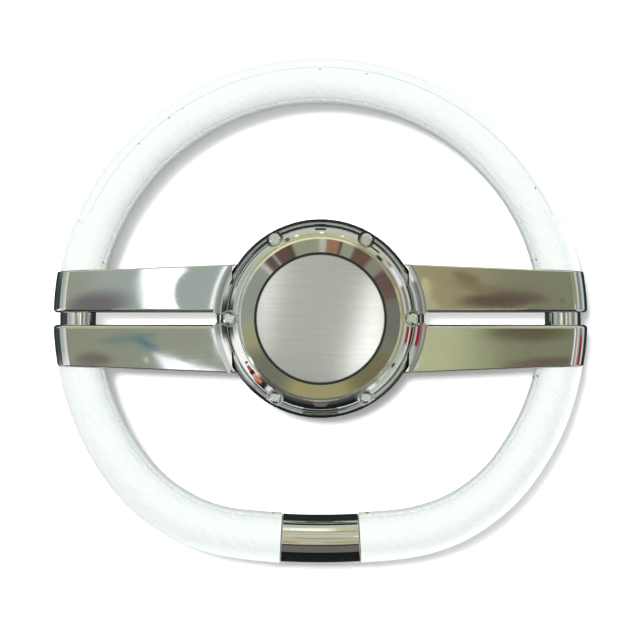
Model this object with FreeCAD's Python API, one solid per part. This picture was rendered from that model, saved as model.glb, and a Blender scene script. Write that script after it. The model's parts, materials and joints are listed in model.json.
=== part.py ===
import FreeCAD, Part
import math
import os
from FreeCAD import Vector

# Boat steering wheel with a D-shaped rim, wrapped in leather, on two slotted spokes.
# Millimetres. The shaft lies along Y and leaves the wheel at +Y, the wheel's face looks along -Y,
# +Z is up and the flat of the rim is at the bottom. The origin is the centre of the mouth of the
# tapered bore, at the rear face of the hub boss. A radius is measured from the shaft's line unless
# its name says otherwise, and a "plane" is a place along Y.

# Rim line: one long arc over the top, a tighter arc round each lower corner, a nearly flat bottom
RIM_ARC_RADIUS = 161.8
RIM_ARC_DROP = 3.0
CORNER_START_ANGLE = 37.7
CORNER_INSET = 52.7
CORNER_RADIUS = RIM_ARC_RADIUS - CORNER_INSET
FLAT_INSET = 15.0
RIM_BOTTOM_DROP = RIM_ARC_RADIUS - FLAT_INSET
RIM_PLANE = -30.0

# Rim section, from the steel tube outwards
RIM_TUBE_RADIUS = 9.0
RIM_TUBE_WALL = 1.6
GRIP_RADIUS = 15.2
GRIP_BOTTOM_RADIUS = 16.7
LEATHER_THICKNESS = 1.4
GLUE_GAP = 0.1

# Second leather panel over the outer side of the upper rim
PANEL_SEAM_OFFSET = 7.4
PANEL_END_ANGLE = 22.8
PANEL_CORNER_RADIUS = 8.0
SEAM_GAP = 0.3

# Chrome sleeves on the rim
BOTTOM_SLEEVE_LENGTH = 52.0
BOTTOM_SLEEVE_RADIUS = 15.9
BOTTOM_SLEEVE_WALL = 2.2
RIM_SLEEVE_RADIUS = 12.0
SLEEVE_EDGE_RADIUS = 0.8
SLEEVE_END_GAP = 0.3

# Hub plate with four arms, welded to the rim tube
HUB_RADIUS = 66.0
SPIDER_THICKNESS = 5.0
SPIDER_ARM_WIDTH = 15.0
SPIDER_ARM_OFFSET = 17.5

# Spoke covers, a front and a rear casting on each side
COVER_WALL = 2.2
COVER_GAP = 0.3
SPOKE_HALF_HEIGHT_AT_HUB = 35.5
SPOKE_HALF_HEIGHT_AT_RIM = 31.0
SLOT_HALF_HEIGHT = 4.0
SLOT_FROM_HUB = 3.0
SLOT_START_RADIUS = HUB_RADIUS + SLOT_FROM_HUB
SLOT_EDGE_RADIUS = 2.5
SLOT_CORNER_RADIUS = 1.5
SPOKE_EDGE_RADIUS = 0.8
WRAP_OVER_GRIP = 0.3
WRAP_RADIUS = RIM_ARC_RADIUS + GRIP_RADIUS + WRAP_OVER_GRIP
WRAP_CORNER_RADIUS = 9.8
COVER_OVER_GRIP = 0.9
COLLAR_WIDTH = 5.0
CREASE_RADIUS = HUB_RADIUS + COLLAR_WIDTH
CREASE_DEPTH = 13.2
COLLAR_RISE = 4.9
COLLAR_COVE = 0.9
COLLAR_OVER_HUB = 7.6
SLOT_END_DEPTH = 6.0
SLOT_END_HALF_HEIGHT = 1.4
REAR_COVER_DEPTH_AT_HUB = 8.0
REAR_EDGE_RADIUS = 1.5

# Countersunk screws that hold each pair of covers on the spider's arms
COVER_SCREW_FROM_HUB = 22.0
COVER_SCREW_FROM_RIM = 29.8
COVER_SCREW_RADII = (HUB_RADIUS + COVER_SCREW_FROM_HUB, RIM_ARC_RADIUS - COVER_SCREW_FROM_RIM)
COVER_SCREW_SHANK = 2.0
COVER_SCREW_HEAD = 3.8
COVER_SCREW_BITE = 9.0
COVER_POST_RADIUS = 4.4
SCREW_CLEARANCE = 0.2

# Hub bezel: skirt, shoulder, lip, crown, and a cone that falls to the centre disc
BEZEL_SKIRT_WALL = 2.6
BEZEL_SHOULDER_RADIUS = 11.2
BEZEL_SHOULDER_SLOPE = 40.0
BEZEL_LIP_INSET = 4.8
BEZEL_LIP_RADIUS = HUB_RADIUS - BEZEL_LIP_INSET
BEZEL_LIP_STEP = 0.7
BEZEL_SHOULDER_DEPTH = 16.9
BEZEL_CROWN_INSET = 13.0
BEZEL_CROWN_RADIUS = HUB_RADIUS - BEZEL_CROWN_INSET
BEZEL_CROWN_DEPTH = 22.6
BEZEL_CROWN_FLAT = 1.4
BEZEL_RECESS_INSET = 22.3
BEZEL_RECESS_RADIUS = HUB_RADIUS - BEZEL_RECESS_INSET
BEZEL_CONE_FALL = 2.7
BEZEL_WALL = 2.4
CAP_LEDGE_WIDTH = 3.7
CAP_LEDGE_RADIUS = BEZEL_RECESS_RADIUS - CAP_LEDGE_WIDTH
CAP_LEDGE_THICKNESS = 2.0

# Six pan-head screws in scalloped pockets of the bezel
BEZEL_SCREW_COUNT = 6
BEZEL_SCREW_INSET = 5.9
BEZEL_SCREW_CIRCLE = HUB_RADIUS - BEZEL_SCREW_INSET
BEZEL_SCREW_SHANK = 2.4
BEZEL_SCREW_HEAD = 4.35
BEZEL_SCREW_HEAD_HEIGHT = 2.9
BEZEL_POCKET_RADIUS = 5.7
BEZEL_POCKET_DEPTH = 14.6
BEZEL_POST_RADIUS = 7.4
CROSS_RECESS_WIDTH = 1.1
CROSS_RECESS_LENGTH = 5.0
CROSS_RECESS_DEPTH = 1.7

# Centre cap: brushed disc, black carrier and rubber seal
SEAL_ROOM = 1.5
DISC_RADIUS = BEZEL_RECESS_RADIUS - SEAL_ROOM
DISC_THICKNESS = 1.5
DISC_BEVEL = 0.5
DISC_STAND = 0.2
CAP_GAP = 0.2
CARRIER_FLANGE = 1.4
CARRIER_WALL = 2.0
CARRIER_SPIGOT_DEPTH = 5.0

# Hub boss with a 3/4 inch bore, 1 in 12 taper on the diameter, and a 3/16 inch keyway
BORE_MOUTH_RADIUS = 9.525
TAPER_PER_DIAMETER = 1.0 / 12.0
KEYWAY_WIDTH = 4.76
KEYWAY_DEPTH = 2.2
BOSS_RADIUS = 22.0
BOSS_FLANGE_RADIUS = 36.0
BOSS_FLANGE_THICKNESS = 6.0
BOSS_NOSE_RADIUS = 18.0
BOSS_NOSE_STAND = 1.5
BOSS_FIT = 0.2

# Six hexagon bolts and washers between the spider and the boss
BOSS_BOLT_COUNT = 6
BOSS_BOLT_CIRCLE = 27.5
BOSS_BOLT_SHANK = 3.0
BOSS_BOLT_FLATS = 10.0
BOSS_BOLT_HEAD_HEIGHT = 4.0
BOSS_BOLT_BITE = 5.0
WASHER_RADIUS = 6.0
WASHER_THICKNESS = 1.2

# Rear hub cover, a moulded bell over the boss, on three screws
REAR_BELL_WALL = 2.5
REAR_BELL_RIM_HEIGHT = 3.0
REAR_BELL_NECK_WIDTH = 8.0
REAR_BELL_NECK_RADIUS = BOSS_RADIUS + REAR_BELL_NECK_WIDTH
REAR_BELL_STAND = 3.0
REAR_BELL_EDGE_RADIUS = 3.0
REAR_SCREW_COUNT = 3
REAR_SCREW_INSET = 18.0
REAR_SCREW_CIRCLE = HUB_RADIUS - REAR_SCREW_INSET
REAR_SCREW_SHANK = 2.0
REAR_SCREW_HEAD = 3.8
REAR_SCREW_HEAD_HEIGHT = 2.4
REAR_SCREW_BITE = 4.0
REAR_POST_RADIUS = 5.6
REAR_POST_HEIGHT = 7.0

# Places along the shaft that follow from the sizes
SPIDER_FRONT = RIM_PLANE - SPIDER_THICKNESS / 2
SPIDER_REAR = RIM_PLANE + SPIDER_THICKNESS / 2
COVER_FRONT = RIM_PLANE - GRIP_RADIUS - COVER_OVER_GRIP
COVER_REAR = RIM_PLANE + GRIP_RADIUS + COVER_OVER_GRIP
CREASE_PLANE = RIM_PLANE - CREASE_DEPTH
BEZEL_CROWN_PLANE = RIM_PLANE - BEZEL_CROWN_DEPTH
BEZEL_SHOULDER_PLANE = RIM_PLANE - BEZEL_SHOULDER_DEPTH
BEZEL_SHOULDER_RISE = BEZEL_SHOULDER_RADIUS * math.cos(math.radians(BEZEL_SHOULDER_SLOPE))
BEZEL_SKIRT_PLANE = BEZEL_SHOULDER_PLANE + BEZEL_SHOULDER_RISE
BEZEL_CONE_PLANE = BEZEL_CROWN_PLANE + BEZEL_CONE_FALL
CAP_LEDGE_PLANE = BEZEL_CONE_PLANE + DISC_STAND + DISC_THICKNESS + CARRIER_FLANGE
POCKET_PLANE = RIM_PLANE - BEZEL_POCKET_DEPTH
BOSS_NOSE_PLANE = SPIDER_FRONT - BOSS_NOSE_STAND
COVER_START_RADIUS = HUB_RADIUS + COVER_GAP
FOAM_RADIUS = GRIP_RADIUS - LEATHER_THICKNESS - GLUE_GAP
FOAM_BOTTOM_RADIUS = GRIP_BOTTOM_RADIUS - LEATHER_THICKNESS - GLUE_GAP
BEYOND = 2 * WRAP_RADIUS

FRONTWARD = Vector(0, -1, 0)
REARWARD = Vector(0, 1, 0)
SHAFT_LINE = (Vector(0, 0, 0), REARWARD)


# Shapes that many pieces share


def polar(radius, degrees, centre=Vector(0, 0, 0)):
    """The point of the wheel's plane at this radius and angle round a centre."""
    turn = math.radians(degrees)
    return centre + Vector(radius * math.cos(turn), 0, radius * math.sin(turn))


def turned(edges):
    """The solid that a closed outline of (radius, plane) edges makes round the shaft's line."""
    face = Part.Face(Part.Wire(edges))
    return face.revolve(*SHAFT_LINE, 360)


def outline(points):
    """Straight edges through (radius, plane) points, back to the first one."""
    corners = [Vector(radius, plane, 0) for radius, plane in points]
    return Part.makePolygon(corners + corners[:1]).Edges


def path(*pieces):
    """Edges of a closed outline: a point starts a line, and a pair of points gives an arc."""
    edges = []
    here = Vector(*pieces[0], 0)
    for piece in pieces[1:] + pieces[:1]:
        if isinstance(piece[0], tuple):
            middle, end = (Vector(*point, 0) for point in piece)
            edges.append(Part.Arc(here, middle, end).toShape())
        else:
            end = Vector(*piece, 0)
            edges.append(Part.makeLine(here, end))
        here = end
    return edges


def rod(radius, front, rear, place=Vector(0, 0, 0)):
    """A cylinder along the shaft's direction, between two planes."""
    return Part.makeCylinder(radius, rear - front, Vector(place.x, front, place.z), REARWARD)


def slab(points, plane_from, plane_to):
    """A plate with straight (x, z) edges between two planes."""
    corners = [Vector(x, plane_from, z) for x, z in points]
    face = Part.Face(Part.makePolygon(corners + corners[:1]))
    return face.extrude(REARWARD * (plane_to - plane_from))


def around(shape, count):
    """Copies of a shape, evenly spaced round the shaft's line."""
    copies = []
    for index in range(count):
        copy = shape.copy()
        copy.rotate(*SHAFT_LINE, 360.0 * index / count)
        copies.append(copy)
    return copies


def mirrored(shape):
    """The same piece on the other side of the wheel."""
    return shape.mirror(Vector(0, 0, 0), Vector(1, 0, 0))


def upside_down(shape):
    """The same piece below the wheel's middle."""
    return shape.mirror(Vector(0, 0, 0), Vector(0, 0, 1))


# Rim line


def rim_arcs():
    """Centre, radius, start and end angle of the right half's three arcs, from the top down."""
    top_centre = Vector(0, RIM_PLANE, -RIM_ARC_DROP)
    corner_centre = polar(RIM_ARC_RADIUS - CORNER_RADIUS, -CORNER_START_ANGLE, top_centre)
    height = corner_centre.z + RIM_BOTTOM_DROP
    squares = corner_centre.x ** 2 + height ** 2 - CORNER_RADIUS ** 2
    bottom_radius = squares / (2 * (height - CORNER_RADIUS))
    bottom_centre = Vector(0, RIM_PLANE, bottom_radius - RIM_BOTTOM_DROP)
    run = corner_centre - bottom_centre
    corner_end = math.degrees(math.atan2(run.z, run.x))
    return [
        (top_centre, RIM_ARC_RADIUS, 90.0, -CORNER_START_ANGLE),
        (corner_centre, CORNER_RADIUS, -CORNER_START_ANGLE, corner_end),
        (bottom_centre, bottom_radius, corner_end, -90.0),
    ]


def arc_edge(centre, radius, start, end):
    """One circular edge in the rim's plane."""
    middle = (start + end) / 2
    points = [polar(radius, angle, centre) for angle in (start, middle, end)]
    return Part.Arc(*points).toShape()


def swept(edges, start_radius, end_radius):
    """A round bar along the edges whose radius grows evenly from its start to its end."""
    spine = Part.Wire(edges)
    first, last = spine.Edges[0], spine.Edges[-1]
    ends = [
        (first.valueAt(first.FirstParameter), first.tangentAt(first.FirstParameter), start_radius),
        (last.valueAt(last.LastParameter), last.tangentAt(last.LastParameter), end_radius),
    ]
    shell = Part.BRepOffsetAPI.MakePipeShell(spine)
    for point, direction, radius in ends:
        shell.add(Part.Wire([Part.makeCircle(radius, point, direction)]), False, False)
    shell.build()
    shell.makeSolid()
    return shell.shape()


def upper_bar(radius):
    """A round bar along the upper arc, from behind one spoke cover to behind the other."""
    centre, arc_radius, _, _ = rim_arcs()[0]
    return swept([arc_edge(centre, arc_radius, 180.0, 0.0)], radius, radius)


def lower_bar(radius, bottom_radius, stop_x):
    """A round bar from the right spoke round the corner to stop_x on the bottom."""
    top, corner, bottom = rim_arcs()
    stop_angle = -90.0 + math.degrees(math.asin(stop_x / bottom[1]))
    edges = [
        arc_edge(top[0], top[1], 0.0, top[3]),
        arc_edge(*corner),
        arc_edge(bottom[0], bottom[1], bottom[2], stop_angle),
    ]
    return swept(edges, radius, bottom_radius)


def bottom_bar(radius, length):
    """A round bar along the bottom arc, centred below the shaft."""
    centre, arc_radius, _, _ = rim_arcs()[2]
    half = math.degrees(math.asin(length / 2 / arc_radius))
    return swept([arc_edge(centre, arc_radius, -90.0 + half, -90.0 - half)], radius, radius)


def spoke_bar(radius, half_height):
    """A round bar along the rim where the right spoke meets it."""
    centre, arc_radius, _, _ = rim_arcs()[0]
    high = math.degrees(math.asin((half_height - centre.z) / arc_radius))
    low = math.degrees(math.asin((-half_height - centre.z) / arc_radius))
    return swept([arc_edge(centre, arc_radius, high, low)], radius, radius)


def whole_bar(radius):
    """A round bar along the whole closed rim."""
    top, corner, bottom = rim_arcs()
    half = [arc_edge(*corner), arc_edge(bottom[0], bottom[1], bottom[2], -90.0)]
    pieces = [upper_bar(radius), swept([arc_edge(top[0], top[1], 0.0, top[3])] + half, radius, radius)]
    pieces.append(mirrored(pieces[1]))
    return pieces[0].fuse(pieces[1:]).removeSplitter()


# Rim pieces


def rim_tube():
    return whole_bar(RIM_TUBE_RADIUS).cut(whole_bar(RIM_TUBE_RADIUS - RIM_TUBE_WALL))


def spokes_cleared(shape):
    """What is left of a rim piece outside the covers of both spokes."""
    space = spoke_prism(COVER_GAP)
    return shape.cut([space, mirrored(space)])


def upper_foam():
    bar = upper_bar(FOAM_RADIUS).cut(whole_bar(RIM_TUBE_RADIUS + GLUE_GAP))
    return spokes_cleared(bar)


def lower_foam():
    side = lower_bar(FOAM_RADIUS, FOAM_BOTTOM_RADIUS, BOTTOM_SLEEVE_LENGTH / 2)
    middle = bottom_bar(BOTTOM_SLEEVE_RADIUS - BOTTOM_SLEEVE_WALL - GLUE_GAP, BOTTOM_SLEEVE_LENGTH)
    bar = side.fuse([mirrored(side), middle])
    return spokes_cleared(bar.cut(whole_bar(RIM_TUBE_RADIUS + GLUE_GAP)))


def upper_leather_tube():
    """The upper leather before its second panel is parted from it."""
    return spokes_cleared(upper_bar(GRIP_RADIUS).cut(upper_bar(GRIP_RADIUS - LEATHER_THICKNESS)))


def panel_region(grow):
    """The stretch of the upper rim that the second panel covers, seen from the front."""
    centre = rim_arcs()[0][0]
    seam_radius = RIM_ARC_RADIUS + PANEL_SEAM_OFFSET - grow
    end_angle = PANEL_END_ANGLE - math.degrees(grow / seam_radius)
    ends = (180.0 - end_angle, end_angle)
    seam = arc_edge(centre, seam_radius, *ends)
    edge = arc_edge(centre, BEYOND, *ends)
    radii = (seam_radius, BEYOND)
    sides = [Part.makeLine(*[polar(radius, angle, centre) for radius in radii]) for angle in ends]
    face = Part.Face(Part.Wire([seam, sides[1], edge, sides[0]]))
    face.translate(FRONTWARD * GRIP_RADIUS * 2)
    region = face.extrude(REARWARD * GRIP_RADIUS * 4)
    corners = [edge for edge in region.Edges if is_seam_corner(edge, centre, seam_radius)]
    return region.makeFillet(PANEL_CORNER_RADIUS + grow, corners)


def is_seam_corner(edge, centre, seam_radius):
    """Whether an edge runs along the shaft's direction at the seam's radius."""
    middle = edge.CenterOfMass
    away = math.hypot(middle.x - centre.x, middle.z - centre.z)
    across = edge.BoundBox.XLength + edge.BoundBox.ZLength
    return across < 0.01 and abs(away - seam_radius) < 0.01


def upper_leather():
    return upper_leather_tube().cut(panel_region(SEAM_GAP / 2))


def top_leather_panel():
    return upper_leather_tube().common(panel_region(-SEAM_GAP / 2))


def right_lower_leather():
    stop = BOTTOM_SLEEVE_LENGTH / 2 + SLEEVE_END_GAP
    outer = lower_bar(GRIP_RADIUS, GRIP_BOTTOM_RADIUS, stop)
    inner = lower_bar(GRIP_RADIUS - LEATHER_THICKNESS, GRIP_BOTTOM_RADIUS - LEATHER_THICKNESS, stop)
    return spokes_cleared(outer.cut(inner))


def bottom_sleeve():
    sleeve = bottom_bar(BOTTOM_SLEEVE_RADIUS, BOTTOM_SLEEVE_LENGTH)
    ends = [edge for edge in sleeve.Edges if edge.BoundBox.XLength < BOTTOM_SLEEVE_LENGTH / 2]
    rounded = sleeve.makeFillet(SLEEVE_EDGE_RADIUS, ends)
    return rounded.cut(bottom_bar(BOTTOM_SLEEVE_RADIUS - BOTTOM_SLEEVE_WALL, 2 * BOTTOM_SLEEVE_LENGTH))


def rim_sleeve_half_height():
    """Half the length of a sleeve that fills the gap between the spider's arms."""
    return SPIDER_ARM_OFFSET - SPIDER_ARM_WIDTH / 2 - COVER_GAP


def right_rim_sleeve():
    sleeve = spoke_bar(RIM_SLEEVE_RADIUS, rim_sleeve_half_height())
    return sleeve.cut(spoke_bar(RIM_TUBE_RADIUS + GLUE_GAP, 2 * SPOKE_HALF_HEIGHT_AT_RIM))


# Spokes


def half_height(x):
    """Half the height of a spoke at this distance from the shaft, along its straight taper."""
    share = (x - HUB_RADIUS) / (WRAP_RADIUS - HUB_RADIUS)
    return SPOKE_HALF_HEIGHT_AT_HUB + share * (SPOKE_HALF_HEIGHT_AT_RIM - SPOKE_HALF_HEIGHT_AT_HUB)


def spoke_prism(grow=0.0):
    """Everything before and behind the right spoke's tapered outline, grown outwards."""
    corners = [(x, half_height(x) + grow) for x in (HUB_RADIUS / 2, BEYOND)]
    corners += [(x, -z) for x, z in reversed(corners)]
    return slab(corners, RIM_PLANE - BEYOND, RIM_PLANE + BEYOND)


def slot_prism(grow=0.0):
    """The space between the right spoke's two arms, grown outwards, with round corners at the hub."""
    half = SLOT_HALF_HEIGHT + grow
    start = SLOT_START_RADIUS - grow
    corners = [(start, half), (BEYOND, half), (BEYOND, -half), (start, -half)]
    prism = slab(corners, RIM_PLANE - BEYOND, RIM_PLANE + BEYOND)
    inner = [e for e in prism.Edges if e.BoundBox.XMax < start + 0.01 and e.BoundBox.ZLength < 0.01]
    return prism.makeFillet(SLOT_CORNER_RADIUS + grow, inner)


def cover_envelope(face_plane, hub_edges, wall):
    """What a cover's outline encloses round the shaft: its face runs straight into a round corner."""
    side = math.copysign(1, face_plane - RIM_PLANE)
    turn = WRAP_CORNER_RADIUS - wall
    centre = Vector(WRAP_RADIUS - WRAP_CORNER_RADIUS, face_plane - side * WRAP_CORNER_RADIUS, 0)
    last = hub_edges[-1]
    face_start = Vector(*(last[1] if isinstance(last[0], tuple) else last), 0)
    to_centre = centre - face_start
    lean = math.atan2(to_centre.y, to_centre.x) + side * math.asin(turn / to_centre.Length)
    bend_turn = lean + side * math.pi / 2
    half_turn = bend_turn / 2
    face_end = centre + Vector(math.cos(bend_turn), math.sin(bend_turn), 0) * turn
    middle = centre + Vector(math.cos(half_turn), math.sin(half_turn), 0) * turn
    end = (centre.x + turn, centre.y)
    corner = ((middle.x, middle.y), end)
    return turned(path(*hub_edges, (face_end.x, face_end.y), corner, (end[0], RIM_PLANE)))


def front_cover_envelope():
    """The front cover without its hollow and collar: a sloping face and a rounded outer corner."""
    start = COVER_START_RADIUS
    return cover_envelope(COVER_FRONT, [(start, RIM_PLANE), (start, CREASE_PLANE)], 0.0)


def right_collar():
    """The concave rise of the front cover's face, over the bezel's shoulder up to its lip."""
    under = shoulder_arc(COVER_GAP)
    inner = (under[1][0], CREASE_PLANE - COLLAR_RISE)
    crease = (CREASE_RADIUS, CREASE_PLANE)
    run, fall = crease[0] - inner[0], crease[1] - inner[1]
    sag = COLLAR_COVE / math.hypot(run, fall)
    cove = ((inner[0] + crease[0]) / 2 - fall * sag, (inner[1] + crease[1]) / 2 + run * sag)
    start = (COVER_START_RADIUS, BEZEL_SKIRT_PLANE)
    ring = turned(path(start, under, inner, (cove, crease), (CREASE_RADIUS, BEZEL_SKIRT_PLANE)))
    reach = HUB_RADIUS - COLLAR_OVER_HUB
    plan = [(reach, BEYOND), (BEYOND, BEYOND), (BEYOND, -BEYOND), (reach, -BEYOND)]
    ring = ring.common(slab(plan, BEZEL_CROWN_PLANE, RIM_PLANE)).common(spoke_prism())
    place = polar(BEZEL_SCREW_CIRCLE, 0)
    pocket = rod(BEZEL_POCKET_RADIUS + COVER_GAP, BEZEL_CROWN_PLANE, POCKET_PLANE, place)
    return ring.cut([slot_prism(), pocket])


def slot_end_notch():
    """A tapering notch with a sloping floor, from the slot's end to the screw pocket at the hub."""
    narrow, wide = BEZEL_SCREW_CIRCLE, SLOT_START_RADIUS
    half = SLOT_END_HALF_HEIGHT
    plan = [(narrow, half), (wide, SLOT_HALF_HEIGHT), (wide, -SLOT_HALF_HEIGHT), (narrow, -half)]
    floor = CREASE_PLANE + SLOT_END_DEPTH
    corners = [(narrow, BEZEL_CROWN_PLANE), (wide, BEZEL_CROWN_PLANE), (wide, floor + SLOT_FROM_HUB),
               (wide - SLOT_FROM_HUB, floor), (narrow, floor)]
    points = [Vector(x, y, -SLOT_HALF_HEIGHT) for x, y in corners]
    side = Part.Face(Part.makePolygon(points + points[:1]))
    ramp = side.extrude(Vector(0, 0, 2 * SLOT_HALF_HEIGHT))
    return ramp.common(slab(plan, BEZEL_CROWN_PLANE, RIM_PLANE))


def front_cover_hollow():
    """The space behind the front cover's wall, open towards the hub."""
    start = HUB_RADIUS - COVER_WALL
    plane = CREASE_PLANE + COVER_WALL
    hub_edges = [(start, RIM_PLANE), (start, plane), (CREASE_RADIUS, plane)]
    return cover_envelope(COVER_FRONT, hub_edges, COVER_WALL)


def rear_cover_envelope(start, wall):
    """The rear cover's outline, or that of its hollow: shallow at the hub, deep at the rim."""
    shallow = RIM_PLANE + REAR_COVER_DEPTH_AT_HUB - wall
    return cover_envelope(COVER_REAR, [(start, RIM_PLANE), (start, shallow)], wall)


def cover_screw_places():
    """Where the right spoke's screws stand, in its upper and its lower arm."""
    places = []
    for radius in COVER_SCREW_RADII:
        places += [Vector(radius, 0, SPIDER_ARM_OFFSET), Vector(radius, 0, -SPIDER_ARM_OFFSET)]
    return places


def arm_edges(cover, on_slot):
    """A cover's outer edges along its slot, or along its top and bottom, from collar to wrap."""
    found = []
    for edge in cover.Edges:
        middle = edge.valueAt((edge.FirstParameter + edge.LastParameter) / 2)
        across = edge.BoundBox.XLength + edge.BoundBox.YLength
        at_parting = abs(middle.y - RIM_PLANE) < 0.01
        if at_parting or across < 0.5 or math.hypot(middle.x, middle.z) < COVER_START_RADIUS + 0.01:
            continue
        depth_run = edge.BoundBox.XLength < 0.01 and edge.BoundBox.ZLength < 0.01
        if depth_run and middle.x < CREASE_RADIUS:
            continue
        to_slot = abs(abs(middle.z) - SLOT_HALF_HEIGHT)
        to_side = abs(abs(middle.z) - half_height(middle.x))
        if (to_slot if on_slot else to_side) < 0.01:
            found.append(edge)
    return found


def cover_with_round_edges(envelope, slot_radius, side_radius):
    """A spoke cover's outer form: the turned face within the spoke's plan, with its edges eased."""
    cover = envelope.common(spoke_prism()).cut(slot_prism())
    cover = cover.makeFillet(slot_radius, arm_edges(cover, True))
    return cover.makeFillet(side_radius, arm_edges(cover, False))


def cover_shell(outer, hollow, posts):
    """A cover with its wall, its screw posts, and the holes that the rim passes through."""
    space = hollow.common(spoke_prism(-COVER_WALL)).cut(slot_prism(COVER_WALL))
    shell = outer.cut(space).fuse(outer.common(Part.makeCompound(posts)))
    tube = spoke_bar(RIM_TUBE_RADIUS + BOSS_FIT, 2 * SPOKE_HALF_HEIGHT_AT_RIM)
    sleeve = spoke_bar(RIM_SLEEVE_RADIUS + BOSS_FIT, rim_sleeve_half_height() + GLUE_GAP)
    return shell.cut([tube, sleeve])


def right_spoke_front():
    arms = cover_with_round_edges(front_cover_envelope(), SLOT_EDGE_RADIUS, SPOKE_EDGE_RADIUS)
    outer = arms.fuse(right_collar()).cut(slot_end_notch())
    places = cover_screw_places()
    posts = [rod(COVER_POST_RADIUS, COVER_FRONT, SPIDER_FRONT, place) for place in places]
    shell = cover_shell(outer, front_cover_hollow(), posts)
    return shell.cut([cover_screw_hole(place) for place in places])


def cover_screw_hole(place):
    """A blind hole in a front post, a little deeper than its screw goes."""
    bottom = SPIDER_FRONT - COVER_SCREW_BITE - SCREW_CLEARANCE
    return rod(COVER_SCREW_SHANK + GLUE_GAP, bottom, SPIDER_FRONT, place)


def rear_face_plane(radius):
    """Where the rear cover's outer face lies at this radius."""
    share = (radius - COVER_START_RADIUS) / (WRAP_RADIUS - WRAP_CORNER_RADIUS - COVER_START_RADIUS)
    start = RIM_PLANE + REAR_COVER_DEPTH_AT_HUB
    return start + share * (COVER_REAR - start)


def right_spoke_rear():
    envelope = rear_cover_envelope(COVER_START_RADIUS, 0.0)
    outer = cover_with_round_edges(envelope, REAR_EDGE_RADIUS, REAR_EDGE_RADIUS)
    places = cover_screw_places()
    posts = [rod(COVER_POST_RADIUS, SPIDER_REAR, COVER_REAR, place) for place in places]
    shell = cover_shell(outer, rear_cover_envelope(HUB_RADIUS - COVER_WALL, COVER_WALL), posts)
    cuts = [rod(COVER_SCREW_SHANK + SCREW_CLEARANCE, SPIDER_REAR, COVER_REAR, place) for place in places]
    cuts += [countersunk_head(place, SCREW_CLEARANCE, COVER_REAR) for place in places]
    return shell.cut(cuts)


def countersunk_head(place, clearance, top):
    """The cone of a cover screw's head, with a cylinder above it up to a plane."""
    face = rear_face_plane(place.x) - SPOKE_EDGE_RADIUS / 2
    height = COVER_SCREW_HEAD - COVER_SCREW_SHANK
    base = Vector(place.x, face - height, place.z)
    cone = Part.makeCone(COVER_SCREW_SHANK + clearance, COVER_SCREW_HEAD + clearance, height, base, REARWARD)
    if top <= face:
        return cone
    return cone.fuse(rod(COVER_SCREW_HEAD + clearance, face, top, place))


def cover_screws():
    screws = []
    for place in cover_screw_places():
        face = rear_face_plane(place.x) - SPOKE_EDGE_RADIUS / 2
        shank = rod(COVER_SCREW_SHANK, SPIDER_FRONT - COVER_SCREW_BITE, face - GLUE_GAP, place)
        head = countersunk_head(place, 0.0, face)
        screw = shank.fuse(head).cut(cross_recess(place, face, REARWARD))
        screws += [screw, mirrored(screw)]
    return Part.makeCompound(screws)


def hub_spider():
    plate = rod(HUB_RADIUS, SPIDER_FRONT, SPIDER_REAR)
    near = SPIDER_ARM_OFFSET - SPIDER_ARM_WIDTH / 2
    far = near + SPIDER_ARM_WIDTH
    reach = RIM_ARC_RADIUS - RIM_TUBE_RADIUS / 2
    arm = slab([(0, near), (reach, near), (reach, far), (0, far)], SPIDER_FRONT, SPIDER_REAR)
    arms = [arm, mirrored(arm), upside_down(arm), mirrored(upside_down(arm))]
    spider = plate.fuse(arms).removeSplitter()
    tube = spoke_bar(RIM_TUBE_RADIUS, 2 * SPOKE_HALF_HEIGHT_AT_RIM)
    cuts = [tube, mirrored(tube), spider_hole(BOSS_NOSE_RADIUS + BOSS_FIT, Vector(0, 0, 0))]
    bolt = spider_hole(BOSS_BOLT_SHANK + SCREW_CLEARANCE, polar(BOSS_BOLT_CIRCLE, 90))
    bezel_screw = spider_hole(BEZEL_SCREW_SHANK + GLUE_GAP, polar(BEZEL_SCREW_CIRCLE, 0))
    rear_screw = spider_hole(REAR_SCREW_SHANK + GLUE_GAP, polar(REAR_SCREW_CIRCLE, 90))
    cuts += around(bolt, BOSS_BOLT_COUNT) + around(bezel_screw, BEZEL_SCREW_COUNT)
    cuts += around(rear_screw, REAR_SCREW_COUNT)
    for place in cover_screw_places():
        hole = spider_hole(COVER_SCREW_SHANK + SCREW_CLEARANCE, place)
        cuts += [hole, mirrored(hole)]
    return spider.cut(cuts)


def spider_hole(radius, place):
    return rod(radius, SPIDER_FRONT, SPIDER_REAR, place)


# Fasteners


def cross_recess(place, face, outward):
    """A cross cut in a screw's head, whose top lies on a plane and looks outward."""
    across = CROSS_RECESS_WIDTH
    along = CROSS_RECESS_LENGTH
    depth = CROSS_RECESS_DEPTH
    start = face - depth if outward.y > 0 else face
    corner = Vector(place.x - along / 2, start, place.z - across / 2)
    bar = Part.makeBox(along, depth, across, corner)
    other = bar.copy()
    other.rotate(Vector(place.x, 0, place.z), REARWARD, 90)
    return bar.fuse(other)


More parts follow.
